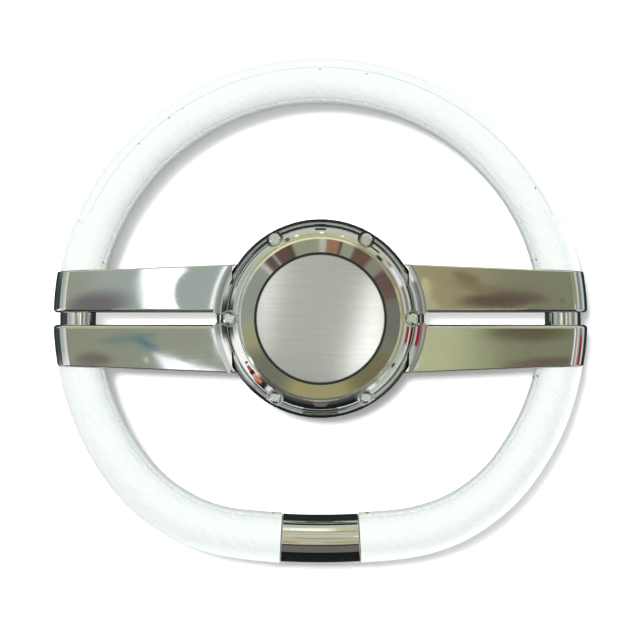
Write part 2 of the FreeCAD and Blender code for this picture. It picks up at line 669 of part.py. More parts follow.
def bezel_screws():
    """Pan heads: a short cylinder with a domed top and a cross recess, on a plain shank."""
    top = POCKET_PLANE - BEZEL_SCREW_HEAD_HEIGHT
    rim = POCKET_PLANE - BEZEL_SCREW_HEAD_HEIGHT / 2
    dome = (BEZEL_SCREW_HEAD * 0.8, top + BEZEL_SCREW_HEAD_HEIGHT * 0.16)
    head = turned(path((0, POCKET_PLANE), (BEZEL_SCREW_HEAD, POCKET_PLANE), (BEZEL_SCREW_HEAD, rim),
                       (dome, (CROSS_RECESS_LENGTH / 2, top)), (0, top)))
    shank = rod(BEZEL_SCREW_SHANK, POCKET_PLANE, SPIDER_REAR - GLUE_GAP)
    screw = head.fuse(shank).cut(cross_recess(Vector(0, 0, 0), top, FRONTWARD))
    screw.rotate(*SHAFT_LINE, 45)
    screw.translate(polar(BEZEL_SCREW_CIRCLE, 0))
    return Part.makeCompound(around(screw, BEZEL_SCREW_COUNT))


def boss_bolts():
    """Hexagon bolts that clamp the spider's plate to the boss flange."""
    seat = SPIDER_FRONT - WASHER_THICKNESS
    place = polar(BOSS_BOLT_CIRCLE, 90)
    corner = BOSS_BOLT_FLATS / math.sqrt(3)
    corners = [polar(corner, 60 * index, place) for index in range(6)]
    hexagon = slab([(point.x, point.z) for point in corners], seat - BOSS_BOLT_HEAD_HEIGHT, seat)
    shank = rod(BOSS_BOLT_SHANK, seat, SPIDER_REAR + BOSS_BOLT_BITE, place)
    return Part.makeCompound(around(hexagon.fuse(shank), BOSS_BOLT_COUNT))


def boss_washers():
    place = polar(BOSS_BOLT_CIRCLE, 90)
    disc = rod(WASHER_RADIUS, SPIDER_FRONT - WASHER_THICKNESS, SPIDER_FRONT, place)
    hole = rod(BOSS_BOLT_SHANK + SCREW_CLEARANCE, SPIDER_FRONT - WASHER_THICKNESS, SPIDER_FRONT, place)
    return Part.makeCompound(around(disc.cut(hole), BOSS_BOLT_COUNT))


# Hub


def hub_boss():
    """Turned boss: body, flange and nose, with the tapered and keyed bore through it."""
    flange = SPIDER_REAR + BOSS_FLANGE_THICKNESS
    body = turned(outline([
        (0, 0), (BOSS_RADIUS, 0), (BOSS_RADIUS, flange), (BOSS_FLANGE_RADIUS, flange),
        (BOSS_FLANGE_RADIUS, SPIDER_REAR), (BOSS_NOSE_RADIUS, SPIDER_REAR),
        (BOSS_NOSE_RADIUS, BOSS_NOSE_PLANE), (0, BOSS_NOSE_PLANE),
    ]))
    end_radius = BORE_MOUTH_RADIUS + BOSS_NOSE_PLANE * TAPER_PER_DIAMETER / 2
    bore = Part.makeCone(BORE_MOUTH_RADIUS, end_radius, -BOSS_NOSE_PLANE, Vector(0, 0, 0), FRONTWARD)
    keyway = Part.makeBox(KEYWAY_WIDTH, -BOSS_NOSE_PLANE, BORE_MOUTH_RADIUS + KEYWAY_DEPTH,
                          Vector(-KEYWAY_WIDTH / 2, BOSS_NOSE_PLANE, 0))
    thread = rod(BOSS_BOLT_SHANK + GLUE_GAP, SPIDER_REAR, flange, polar(BOSS_BOLT_CIRCLE, 90))
    return body.cut([bore, keyway] + around(thread, BOSS_BOLT_COUNT))


def shoulder_arc(grow=0.0):
    """Middle and inner end of the round from the bezel's skirt to its lip, or that far outside it."""
    radius = BEZEL_SHOULDER_RADIUS + grow
    points = []
    for slope in ((90.0 + BEZEL_SHOULDER_SLOPE) / 2, BEZEL_SHOULDER_SLOPE):
        turn = math.radians(slope)
        place = HUB_RADIUS - BEZEL_SHOULDER_RADIUS + radius * math.sin(turn)
        points.append((place, BEZEL_SKIRT_PLANE - radius * math.cos(turn)))
    return tuple(points)


def bezel_outline():
    """The bezel's outer face from the skirt over shoulder, lip and crown down to the cap's recess."""
    lip = BEZEL_SHOULDER_PLANE - BEZEL_LIP_STEP
    rise_middle = (BEZEL_CROWN_RADIUS + (BEZEL_LIP_RADIUS - BEZEL_CROWN_RADIUS) * 0.58,
                   lip + (BEZEL_CROWN_PLANE - lip) * 0.72)
    crown_out = (BEZEL_CROWN_RADIUS + BEZEL_CROWN_FLAT / 2, BEZEL_CROWN_PLANE)
    crown_in = (BEZEL_CROWN_RADIUS - BEZEL_CROWN_FLAT / 2, BEZEL_CROWN_PLANE)
    return [
        (HUB_RADIUS, SPIDER_FRONT), (HUB_RADIUS, BEZEL_SKIRT_PLANE), shoulder_arc(),
        (BEZEL_LIP_RADIUS, BEZEL_SHOULDER_PLANE), (BEZEL_LIP_RADIUS, lip),
        (rise_middle, crown_out), crown_in,
        (BEZEL_RECESS_RADIUS, BEZEL_CONE_PLANE),
    ]


def hub_bezel():
    """Chrome ring: a hollow shell on a skirt, with six screw posts, pockets and a ledge for the cap."""
    ledge = [(BEZEL_RECESS_RADIUS, CAP_LEDGE_PLANE), (CAP_LEDGE_RADIUS, CAP_LEDGE_PLANE)]
    ledge_back = CAP_LEDGE_PLANE + CAP_LEDGE_THICKNESS
    filled = turned(path(*bezel_outline(), *ledge, (CAP_LEDGE_RADIUS, SPIDER_FRONT)))
    crown_inside = BEZEL_CROWN_PLANE + BEZEL_WALL * 1.1
    shoulder_inside = BEZEL_SHOULDER_PLANE + BEZEL_WALL
    hollow = turned(outline([
        (HUB_RADIUS - BEZEL_SKIRT_WALL, SPIDER_FRONT),
        (HUB_RADIUS - BEZEL_SKIRT_WALL, BEZEL_SKIRT_PLANE),
        (BEZEL_LIP_RADIUS - BEZEL_WALL / 2, shoulder_inside),
        (BEZEL_CROWN_RADIUS + BEZEL_WALL, crown_inside + BEZEL_WALL / 2),
        (BEZEL_CROWN_RADIUS - BEZEL_WALL / 2, crown_inside),
        (BEZEL_RECESS_RADIUS + BEZEL_WALL, ledge_back),
        (0, ledge_back), (0, SPIDER_FRONT),
    ]))
    place = polar(BEZEL_SCREW_CIRCLE, 0)
    post = rod(BEZEL_POST_RADIUS, BEZEL_CROWN_PLANE, SPIDER_FRONT, place)
    pocket = rod(BEZEL_POCKET_RADIUS, BEZEL_CROWN_PLANE - 1, POCKET_PLANE, place)
    hole = rod(BEZEL_SCREW_SHANK + SCREW_CLEARANCE, POCKET_PLANE, SPIDER_FRONT, place)
    posts = filled.common(Part.makeCompound(around(post, BEZEL_SCREW_COUNT)))
    shell = filled.cut(hollow).fuse(posts)
    return shell.cut(around(pocket, BEZEL_SCREW_COUNT) + around(hole, BEZEL_SCREW_COUNT))


def centre_disc():
    """Flat plate with a thin bevelled edge, left blank."""
    back = CAP_LEDGE_PLANE - CARRIER_FLANGE
    front = back - DISC_THICKNESS
    return turned(outline([
        (0, back), (DISC_RADIUS, back), (DISC_RADIUS, front + DISC_BEVEL),
        (DISC_RADIUS - DISC_BEVEL, front), (0, front),
    ]))


def cap_carrier():
    """Moulded cup: a flange on the bezel's ledge and a hollow spigot through it."""
    flange = BEZEL_RECESS_RADIUS - CAP_GAP
    spigot = CAP_LEDGE_RADIUS - CAP_GAP
    back = CAP_LEDGE_PLANE + CARRIER_SPIGOT_DEPTH
    front = CAP_LEDGE_PLANE - CARRIER_FLANGE
    return turned(outline([
        (0, front), (flange, front), (flange, CAP_LEDGE_PLANE), (spigot, CAP_LEDGE_PLANE),
        (spigot, back), (spigot - CARRIER_WALL, back), (spigot - CARRIER_WALL, front + CARRIER_WALL),
        (0, front + CARRIER_WALL),
    ]))


def cap_seal():
    """Rubber ring in the gap between the disc and the bezel."""
    back = CAP_LEDGE_PLANE - CARRIER_FLANGE
    front = back - DISC_THICKNESS + DISC_BEVEL
    inside = DISC_RADIUS + CAP_GAP / 2
    outside = BEZEL_RECESS_RADIUS - CAP_GAP / 2
    return turned(outline([(inside, back), (outside, back), (outside, front), (inside, front)]))


def rear_bell_outline(inset):
    """The rear cover's outer face, or its inner face one wall further in."""
    rim = SPIDER_REAR + REAR_BELL_RIM_HEIGHT - inset
    neck = -REAR_BELL_STAND - inset
    edge = HUB_RADIUS - inset
    return [(edge, SPIDER_REAR), (edge, rim), (REAR_BELL_NECK_RADIUS - inset, neck)]


def rear_hub_cover():
    """Moulded bell behind the hub, open round the boss, with three posts for its screws."""
    neck = rear_bell_outline(0)[-1][1]
    filled = turned(outline(rear_bell_outline(0) + [(0, neck), (0, SPIDER_REAR)]))
    edges = [e for e in filled.Edges if is_bell_edge(e)]
    filled = filled.makeFillet(REAR_BELL_EDGE_RADIUS, edges)
    inner_neck = rear_bell_outline(REAR_BELL_WALL)[-1][1]
    hollow = turned(outline(rear_bell_outline(REAR_BELL_WALL) + [(0, inner_neck), (0, SPIDER_REAR)]))
    place = polar(REAR_SCREW_CIRCLE, 90)
    seat = SPIDER_REAR + REAR_POST_HEIGHT
    post = rod(REAR_POST_RADIUS, SPIDER_REAR, 0, place)
    well = rod(REAR_SCREW_HEAD + SCREW_CLEARANCE, seat, 0, place)
    hole = rod(REAR_SCREW_SHANK + SCREW_CLEARANCE, SPIDER_REAR, seat, place)
    posts = filled.common(Part.makeCompound(around(post, REAR_SCREW_COUNT)))
    shell = filled.cut(hollow).fuse(posts)
    opening = rod(BOSS_RADIUS + COVER_GAP, SPIDER_REAR, 0)
    return shell.cut([opening] + around(well, REAR_SCREW_COUNT) + around(hole, REAR_SCREW_COUNT))


def is_bell_edge(edge):
    """Whether an edge is one of the two circles where the bell turns."""
    radius = edge.BoundBox.XLength / 2
    at_rim = abs(radius - HUB_RADIUS) < 0.01 and edge.BoundBox.YMin > SPIDER_REAR + 0.01
    at_neck = abs(radius - REAR_BELL_NECK_RADIUS) < 0.01
    return at_rim or at_neck


def rear_cover_screws():
    seat = SPIDER_REAR + REAR_POST_HEIGHT
    place = polar(REAR_SCREW_CIRCLE, 90)
    head = rod(REAR_SCREW_HEAD, seat, seat + REAR_SCREW_HEAD_HEIGHT, place)
    shank = rod(REAR_SCREW_SHANK, SPIDER_REAR - REAR_SCREW_BITE, seat, place)
    screw = head.fuse(shank).cut(cross_recess(place, seat + REAR_SCREW_HEAD_HEIGHT, REARWARD))
    return Part.makeCompound(around(screw, REAR_SCREW_COUNT))


# Parts


def sleeves_and_leather():
    """The chrome and leather pieces that stand on one side and again on the other."""
    return {
        "lower_leather": right_lower_leather(),
        "rim_sleeve": right_rim_sleeve(),
        "spoke_front": right_spoke_front(),
        "spoke_rear": right_spoke_rear(),
    }


def parts():
    made = {
        "rim_tube": rim_tube(),
        "hub_spider": hub_spider(),
        "upper_foam": upper_foam(),
        "lower_foam": lower_foam(),
        "upper_leather": upper_leather(),
        "top_leather_panel": top_leather_panel(),
        "bottom_sleeve": bottom_sleeve(),
        "cover_screws": cover_screws(),
        "hub_bezel": hub_bezel(),
        "bezel_screws": bezel_screws(),
        "centre_disc": centre_disc(),
        "cap_carrier": cap_carrier(),
        "cap_seal": cap_seal(),
        "hub_boss": hub_boss(),
        "boss_bolts": boss_bolts(),
        "boss_washers": boss_washers(),
        "rear_hub_cover": rear_hub_cover(),
        "rear_cover_screws": rear_cover_screws(),
    }
    for name, shape in sleeves_and_leather().items():
        made["right_" + name] = shape
        made["left_" + name] = mirrored(shape)
    return made


os.makedirs("parts", exist_ok=True)
for name, shape in parts().items():
    sound = "sound" if shape.isValid() else "NOT VALID"
    print(name, len(shape.Solids), "solids", round(shape.Volume / 1000, 2), "cm3", sound)
    shape.exportStep("parts/" + name + ".step")
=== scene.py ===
# %% [markdown]
# # A boat steering wheel in white leather and chrome
# The wheel is D shaped: a leather rim, two slotted chrome spokes and a round chrome hub with a brushed
# plate in the middle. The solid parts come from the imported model, already in place and in metres.
# This script gives them their finishes, sews the leather round the rim, and lays the wheel on a pale table.

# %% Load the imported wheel
import json
import math
import bpy
import numpy as np
from mathutils import Matrix, Vector


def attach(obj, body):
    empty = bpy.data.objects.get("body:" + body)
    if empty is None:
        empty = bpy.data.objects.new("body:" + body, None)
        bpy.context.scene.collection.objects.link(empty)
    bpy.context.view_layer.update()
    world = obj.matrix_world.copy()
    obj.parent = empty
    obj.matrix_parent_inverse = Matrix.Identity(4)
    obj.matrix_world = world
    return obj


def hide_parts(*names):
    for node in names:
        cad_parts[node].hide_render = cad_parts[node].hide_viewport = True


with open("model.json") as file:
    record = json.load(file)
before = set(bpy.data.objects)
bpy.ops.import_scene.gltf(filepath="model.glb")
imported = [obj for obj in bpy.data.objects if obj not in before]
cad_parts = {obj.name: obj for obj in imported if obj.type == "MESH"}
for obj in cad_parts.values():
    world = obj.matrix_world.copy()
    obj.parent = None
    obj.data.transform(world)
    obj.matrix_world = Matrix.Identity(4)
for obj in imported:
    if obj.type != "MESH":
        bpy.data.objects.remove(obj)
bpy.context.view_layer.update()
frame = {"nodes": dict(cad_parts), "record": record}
print("solid parts:", len(frame["nodes"]))

# %% [markdown]
# ## Helpers for shader maths
# A material is a tree of nodes. Written node by node it is long and hard to read, so one small class wraps
# a node's output and lets Python's own signs add the Math nodes. One method adds every other node.

# %% A shader value that can be added, multiplied and compared
class Value:
    """One output of a shader node."""

    def __init__(self, recipe, socket):
        self.recipe = recipe
        self.socket = socket

    def math(self, operation, *values):
        return self.recipe.add("ShaderNodeMath", {"operation": operation}, dict(enumerate(values)))

    def __add__(self, other):
        return self.math("ADD", self, other)

    def __radd__(self, other):
        return self.math("ADD", other, self)

    def __sub__(self, other):
        return self.math("SUBTRACT", self, other)

    def __rsub__(self, other):
        return self.math("SUBTRACT", other, self)

    def __mul__(self, other):
        return self.math("MULTIPLY", self, other)

    def __rmul__(self, other):
        return self.math("MULTIPLY", other, self)

    def __truediv__(self, other):
        return self.math("DIVIDE", self, other)

    def __pow__(self, other):
        return self.math("POWER", self, other)

    def sine(self):
        return self.math("SINE", self)

    def size(self):
        return self.math("ABSOLUTE", self)

    def clamped(self):
        return self.recipe.add("ShaderNodeClamp", {}, {0: self})

    def rise(self, low, high):
        """0 below low, 1 above high, and a smooth step between them. The other way round if low is above high."""
        inputs = {0: self, 1: low, 2: high, 3: 0.0, 4: 1.0}
        if low > high:
            inputs.update({1: high, 2: low, 3: 1.0, 4: 0.0})
        return self.recipe.add("ShaderNodeMapRange", {"interpolation_type": "SMOOTHSTEP"}, inputs)


# %% A node tree that takes nodes, their settings and their inputs
class Recipe:
    """The nodes of one material, or of the world."""

    def __init__(self, tree):
        self.tree = tree

    def add(self, kind, settings={}, inputs={}, output=0):
        node = self.tree.nodes.new(kind)
        for name, setting in settings.items():
            if name == "stops":
                self.set_stops(node.color_ramp, setting)
            else:
                setattr(node, name, setting)
        for name, value in inputs.items():
            if isinstance(value, Value):
                self.tree.links.new(value.socket, node.inputs[name])
            else:
                node.inputs[name].default_value = value
        return Value(self, node.outputs[output])

    def set_stops(self, ramp, stops):
        while len(ramp.elements) < len(stops):
            ramp.elements.new(0.5)
        for element, (position, color) in zip(ramp.elements, stops):
            element.position = position
            element.color = (*color, 1.0)

    def ramp(self, value, stops):
        return self.add("ShaderNodeValToRGB", {"stops": stops}, {0: value})

    def mixed(self, factor, first, second):
        """A colour between two colours."""
        colors = [c if isinstance(c, Value) else (*c, 1.0) for c in (first, second)]
        return self.add("ShaderNodeMix", {"data_type": "RGBA"}, {0: factor, 6: colors[0], 7: colors[1]}, 2)

    def place(self):
        """Where a point is in the wheel's own frame, in metres."""
        return self.add("ShaderNodeTexCoord", {}, {}, "Object")

    def parts(self, vector):
        node = self.tree.nodes.new("ShaderNodeSeparateXYZ")
        self.tree.links.new(vector.socket, node.inputs[0])
        return [Value(self, output) for output in node.outputs]

    def vector(self, x, y, z):
        return self.add("ShaderNodeCombineXYZ", {}, {0: x, 1: y, 2: z})

    def turned(self, vector, scale=(1, 1, 1), rotation=(0, 0, 0)):
        return self.add("ShaderNodeMapping", {}, {"Vector": vector, "Scale": scale, "Rotation": rotation})

    def noise(self, vector, scale, detail=2.0, roughness=0.5, distortion=0.0):
        inputs = {"Vector": vector, "Scale": scale, "Detail": detail, "Roughness": roughness}
        return self.add("ShaderNodeTexNoise", {}, {**inputs, "Distortion": distortion})

    def bump(self, height, depth, strength=1.0, below=None):
        """A normal from a height field: depth is how many metres a height of 1 stands."""
        inputs = {"Height": height, "Distance": depth, "Strength": strength}
        if below is not None:
            inputs["Normal"] = below
        return self.add("ShaderNodeBump", {}, inputs)


def new_finish(name, color, roughness, metallic=0.0, **constants):
    """A material with its recipe and its shader, whose plain values are set at once."""
    material = bpy.data.materials.new(name)
    material.use_nodes = True
    shader = material.node_tree.nodes["Principled BSDF"]
    shader.inputs["Base Color"].default_value = (*color, 1.0)
    shader.inputs["Roughness"].default_value = roughness
    shader.inputs["Metallic"].default_value = metallic
    for socket, value in constants.items():
        shader.inputs[socket.replace("_", " ")].default_value = value
    return material, Recipe(material.node_tree), shader


def wire(recipe, value, shader, socket):
    recipe.tree.links.new(value.socket, shader.inputs[socket])


# %% [markdown]
# ## Finish: chrome plate
# The spokes, the bezel and the sleeves are cast, polished by hand and plated. A polished casting is never
# quite flat, so its reflections swim a little: a very low, very broad bump does that. Fine wiping marks
# change the roughness, and the plate itself stays almost white metal. In the groove round the bezel and in
# the collar's hollow the colour is painted much darker: painted shade, standing in for the dark that these
# hollows mirror. Noise in the wheel's own frame is used because these parts have no flat pattern of their own.

# %% Chrome
def make_chrome():
    material, recipe, shader = new_finish("chrome_plate", (0.80, 0.80, 0.79), 0.05, 1.0)
    place = recipe.place()
    clouds = recipe.noise(place, 38.0, 2.0, 0.6)
    wiping = recipe.noise(recipe.turned(place, (1.0, 1.0, 9.0), (0.0, 0.35, 0.0)), 260.0, 3.0, 0.6)
    wire(recipe, 0.03 + clouds.rise(0.42, 0.75) * 0.035 + wiping.rise(0.5, 0.8) * 0.05, shader, "Roughness")
    x, y, z = recipe.parts(place)
    reach = (x * x + z * z) ** 0.5
    # Painted shade: on the front, the bezel's groove and the collar's hollow get a much darker base colour.
    groove = reach.rise(0.0594, 0.0604) * reach.rise(0.0640, 0.0632)
    collar = reach.rise(0.0662, 0.0670) * reach.rise(0.0708, 0.0696)
    front = y.rise(-0.030, -0.040)
    tint = recipe.mixed(clouds.rise(0.3, 0.8), (0.81, 0.81, 0.80), (0.76, 0.77, 0.765))
    wire(recipe, recipe.mixed((groove + collar) * front, tint, (0.48, 0.485, 0.48)), shader, "Base Color")
    waves = recipe.noise(place, 22.0, 1.0, 0.4)
    grain = recipe.noise(place, 900.0, 2.0, 0.5)
    wire(recipe, recipe.bump(waves * 1.0 + grain * 0.004, 0.00012), shader, "Normal")
    return material


chrome = make_chrome()
print("finish:", chrome.name)

# %% [markdown]
# ## Finish: brushed steel
# The centre plate is brushed level with the spokes. Brushing is thousands of fine scratches that all run
# the same way, which is noise stretched a hundred times along X. The scratches go into the roughness, the
# colour and the bump. The plate still mirrors the room a little, softly.

# %% Brushed plate
def make_brushed_steel():
    material, recipe, shader = new_finish("brushed_steel", (0.66, 0.66, 0.64), 0.14, 1.0)
    place = recipe.place()
    fine = recipe.noise(recipe.turned(place, (14.0, 1.0, 1500.0)), 1.0, 4.0, 0.7)
    broad = recipe.noise(recipe.turned(place, (12.0, 1.0, 950.0)), 1.0, 3.0, 0.6)
    scratches = recipe.noise(recipe.turned(place, (26.0, 1.0, 2600.0)), 1.0, 2.0, 0.5)
    tone = (fine * 0.35 + broad * 0.5 + scratches * 0.15).clamped()
    wire(recipe, recipe.ramp(tone, [(0.33, (0.595, 0.60, 0.585)), (0.5, (0.635, 0.64, 0.62)),
                                    (0.67, (0.675, 0.68, 0.66))]), shader, "Base Color")
    wire(recipe, 0.085 + fine * 0.04 + scratches.rise(0.62, 0.8) * 0.04, shader, "Roughness")
    wire(recipe, recipe.bump(fine * 0.7 + scratches * 0.5 + broad * 0.3, 0.000008), shader, "Normal")
    return material


brushed_steel = make_brushed_steel()
print("finish:", brushed_steel.name)

# %% [markdown]
# ## Finish: the small metal and the black parts
# Stainless screws, zinc plated steel inside the hub, a turned aluminium boss, a satin black moulding and
# rubber. Each is the same short recipe with its own colour, grain size and roughness, so one function
# makes them all and the values say what each one is.

# %% Screws, steel, boss, mouldings, rubber and foam
def make_worn(name, dark, light, metallic, roughness, grain, depth, **constants):
    """A plain material whose colour, gloss and surface vary a little, at its own grain size."""
    material, recipe, shader = new_finish(name, light, roughness, metallic, **constants)
    place = recipe.place()
    patches = recipe.noise(place, grain * 0.12, 3.0, 0.6)
    grit = recipe.noise(place, grain, 3.0, 0.55)
    wire(recipe, recipe.mixed((patches * 0.6 + grit * 0.4).rise(0.3, 0.7), dark, light), shader, "Base Color")
    wire(recipe, roughness * 0.75 + patches * roughness * 0.35 + grit * roughness * 0.2, shader, "Roughness")
    wire(recipe, recipe.bump(grit, depth), shader, "Normal")
    return material


screw_steel = make_worn("screw_stainless", (0.78, 0.84, 0.84), (0.90, 0.95, 0.95), 1.0, 0.2, 900.0, 0.00001)
zinc = make_worn("zinc_plate", (0.40, 0.41, 0.42), (0.58, 0.59, 0.60), 1.0, 0.34, 500.0, 0.00002)
boss_metal = make_worn("turned_aluminium", (0.52, 0.53, 0.54), (0.70, 0.71, 0.72), 1.0, 0.28, 700.0, 0.00002)
moulding = make_worn("black_moulding", (0.016, 0.016, 0.017), (0.028, 0.028, 0.03), 0.0, 0.42, 1400.0, 0.00008)
rubber = make_worn("seal_rubber", (0.006, 0.010, 0.010), (0.016, 0.022, 0.022), 0.0, 0.5, 1200.0, 0.00003)
foam = make_worn("rim_foam", (0.05, 0.05, 0.05), (0.10, 0.10, 0.10), 0.0, 0.8, 900.0, 0.0001)
finishes = {"chrome": chrome, "brushed_steel": brushed_steel, "screw_steel": screw_steel, "steel": zinc,
            "boss_aluminium": boss_metal, "black_plastic": moulding, "black_rubber": rubber, "foam": foam}

# %% [markdown]
# Every solid part keeps its mesh and gets the finish that its record names. The leather is left out here,
# because new pieces will stand for it.

# %% Paint the solid parts
for part in frame["record"]["subparts"]:
    if part["material_slot"] in finishes:
        for material_slot in frame["nodes"][part["node"]].material_slots:
            material_slot.material = finishes[part["material_slot"]]
print("painted:", sorted(finishes))

# %% [markdown]
# ## The rim's line
# The leather follows a line of three arcs on each side: the long round, a tighter lower corner and the
# nearly flat bottom. A point on the rim is told by how far along the line it lies, which way it faces
# round the grip, and how far it stands from the grip's middle. These are the same sizes as the solids'.

# %% Sizes of the rim, in metres
ROUND_RADIUS, ROUND_DROP = 0.1618, 0.003
CORNER_ANGLE, CORNER_RADIUS = math.radians(-37.7), 0.1091
BOTTOM_DROP, RIM_PLANE = 0.1468, -0.030
GRIP_RADIUS, GRIP_BOTTOM_RADIUS = 0.0152, 0.0167
round_centre = np.array([0.0, -ROUND_DROP])
corner_centre = round_centre + (ROUND_RADIUS - CORNER_RADIUS) * np.array([math.cos(CORNER_ANGLE), math.sin(CORNER_ANGLE)])
height = corner_centre[1] + BOTTOM_DROP
BOTTOM_RADIUS = (corner_centre[0] ** 2 + height ** 2 - CORNER_RADIUS ** 2) / (2 * (height - CORNER_RADIUS))
bottom_centre = np.array([0.0, BOTTOM_RADIUS - BOTTOM_DROP])
run = corner_centre - bottom_centre
BOTTOM_ANGLE = math.atan2(run[1], run[0])
ROUND_LENGTH = ROUND_RADIUS * (math.pi / 2 - CORNER_ANGLE)
CORNER_LENGTH = CORNER_RADIUS * (CORNER_ANGLE - BOTTOM_ANGLE)
HALF_LENGTH = ROUND_LENGTH + CORNER_LENGTH + BOTTOM_RADIUS * (BOTTOM_ANGLE + math.pi / 2)
print("rim line:", round(2 * HALF_LENGTH, 4), "m")


# %% From a place along the rim to a point in space
def on_rim(along, facing, reach):
    """Points of the rim. along: metres from the top, to the right; facing: 0 outwards, a quarter turn to the
    front; reach: metres from the grip's middle. All three are arrays."""
    along, facing, reach = np.broadcast_arrays(along, facing, reach)
    side = np.where(along < 0, -1.0, 1.0)
    way = np.abs(along)
    corner_way = way - ROUND_LENGTH
    bottom_way = corner_way - CORNER_LENGTH
    turn = np.where(corner_way < 0, math.pi / 2 - way / ROUND_RADIUS,
                    np.where(bottom_way < 0, CORNER_ANGLE - corner_way / CORNER_RADIUS,
                             BOTTOM_ANGLE - bottom_way / BOTTOM_RADIUS))
    picks = [corner_way < 0, bottom_way < 0]
    radius = np.select(picks, [ROUND_RADIUS, CORNER_RADIUS], BOTTOM_RADIUS)
    centre_x = np.select(picks, [0.0, corner_centre[0]], 0.0)
    centre_z = np.select(picks, [round_centre[1], corner_centre[1]], bottom_centre[1])
    distance = radius + reach * np.cos(facing)
    x = side * (centre_x + distance * np.cos(turn))
    z = centre_z + distance * np.sin(turn)
    y = RIM_PLANE - reach * np.sin(facing)
    return np.stack([x, y, z], axis=-1)


def grip_radius(along):
    """The leather's outer radius: even over the top, and growing towards the bottom sleeve."""
    share = np.clip((np.abs(along) - LOWER_START) / (LOWER_END - LOWER_START), 0.0, 1.0)
    return GRIP_RADIUS + share * (GRIP_BOTTOM_RADIUS - GRIP_RADIUS)


LOWER_START = ROUND_RADIUS * math.pi / 2
LOWER_END = HALF_LENGTH - 0.026
print("leather grows from", GRIP_RADIUS, "to", GRIP_BOTTOM_RADIUS)

# %% [markdown]
# ## Finish: white leather
# The hide has a fine printed grain: small closed cells about a millimetre across, pulled a little longer
# one way, with fine creases between them. A Voronoi texture's distance to the cell edges gives the creases,
# and noise bends them so that no two cells match. Pores and broad unevenness come from more noise. The
# grain runs across the whole wheel in one direction, as it does on a hide, so it reads Object coordinates.
# A few needle marks and knots show as dark specks where the sewing ends.

# %% Leather
# Needle marks and small knots on the front: x, z, half width and half height, in metres.
MARKS = [(0.1400, 0.0388, 0.0009, 0.0006), (0.1430, 0.0390, 0.0005, 0.0008), (0.1413, -0.0388, 0.0012, 0.0006),
         (0.1440, -0.0380, 0.0005, 0.0009), (-0.1439, 0.0370, 0.0005, 0.0008), (-0.0314, -0.1288, 0.0005, 0.0010),
         (0.0311, -0.1290, 0.0010, 0.0006), (-0.1198, 0.1155, 0.0008, 0.0005), (-0.1000, 0.1325, 0.0007, 0.0005),
         (-0.0911, 0.1387, 0.0005, 0.0004), (-0.0004, 0.1648, 0.0007, 0.0004), (0.0305, 0.1616, 0.0008, 0.0004),
         (0.1420, 0.0864, 0.0005, 0.0009)]


PANEL_OFFSET = 0.0074
PANEL_TURN = math.radians(22.8)
PANEL_END = ROUND_RADIUS * (math.pi / 2 - PANEL_TURN)


def make_leather():
    material, recipe, shader = new_finish("white_leather", (0.86, 0.885, 0.87), 0.5)
    shader.inputs["Specular IOR Level"].default_value = 0.3
    place = recipe.place()
    bend = recipe.add("ShaderNodeTexNoise", {}, {"Vector": place, "Scale": 190.0, "Detail": 2.0}, "Color")
    off = recipe.add("ShaderNodeVectorMath", {"operation": "SUBTRACT"}, {0: bend, 1: (0.5, 0.5, 0.5)})
    off = recipe.add("ShaderNodeVectorMath", {"operation": "SCALE"}, {0: off, "Scale": 0.0026})
    bent = recipe.add("ShaderNodeVectorMath", {"operation": "ADD"}, {0: place, 1: off})
    along_hide = recipe.turned(bent, (1, 1, 1), (0.0, math.radians(-45), 0.0))
    hide = recipe.turned(along_hide, (0.4, 0.8, 1.0))
    cells = recipe.add("ShaderNodeTexVoronoi", {"feature": "DISTANCE_TO_EDGE"}, {"Vector": hide, "Scale": 700.0})
    creases = cells.rise(0.0, 0.3)
    folds = recipe.noise(recipe.turned(along_hide, (0.11, 0.5, 1.0)), 680.0, 1.0, 0.4)
    pores = recipe.noise(bent, 2400.0, 2.0, 0.5)
    cloud = recipe.noise(place, 55.0, 3.0, 0.6)
    tone = (creases * 0.2 + folds * 0.8).clamped()
    cream = recipe.mixed(cloud.rise(0.35, 0.7), (0.88, 0.91, 0.893), (0.895, 0.92, 0.905))
    color = recipe.mixed(tone.rise(0.2, 0.65), (0.83, 0.868, 0.848), cream)
    x, y, z = recipe.parts(place)
    marks = 0.0
    for mark_x, mark_z, width, height in MARKS:
        across, up = (x - mark_x) / width, (z - mark_z) / height
        marks = (across * across + up * up).rise(1.6, 0.5) + marks
    marks = marks.clamped() * y.rise(-0.028, -0.032)
    # Painted shade: a thin grey-green line along the top panel's seam and round its ends stands in for the shade in
    # the seam's gap.
    above = z + ROUND_DROP
    reach = (x * x + above * above) ** 0.5
    seam = (reach - (ROUND_RADIUS + PANEL_OFFSET)).size().rise(0.0006, 0.0001) * above.rise(0.0700, 0.0726)
    turn = (above * math.cos(PANEL_TURN) - x.size() * math.sin(PANEL_TURN)).size().rise(0.0006, 0.0001)
    seam = (seam + turn * reach.rise(0.1690, 0.1715)).clamped() * (0.35 + cloud * 0.5)
    color = recipe.mixed(seam, color, (0.52, 0.60, 0.56))
    wire(recipe, recipe.mixed(marks * 0.75, color, (0.10, 0.12, 0.13)), shader, "Base Color")
    wire(recipe, 0.42 + cloud * 0.1 + (1 - creases) * 0.12, shader, "Roughness")
    height = creases * 0.15 + folds * 1.8 + pores * 0.1 - marks * 0.8
    wire(recipe, recipe.bump(height, 0.00026), shader, "Normal")
    return material


leather = make_leather()
print("finish:", leather.name)

# %% [markdown]
# ## The leather
# A saddler cuts a flat strip, wraps it round the padded rim and sews its two long edges together on the
# inner side, a little to the front. The same is done here: a flat grid is the strip, at its real length
# and girth, and each of its points is then carried to the rim. Near the edges the strip dips into the
# seam, and each stitch pulls a small dimple. The ends are cut off flat along the spoke covers with bisect,
# and Solidify gives the hide its 1.4 mm.

# %% Select nothing, and take one object up
SEAM_FACING = math.radians(151.0)
STITCH_PITCH = 0.0053
HIDE, PANEL_HIDE = 0.0014, 0.0008


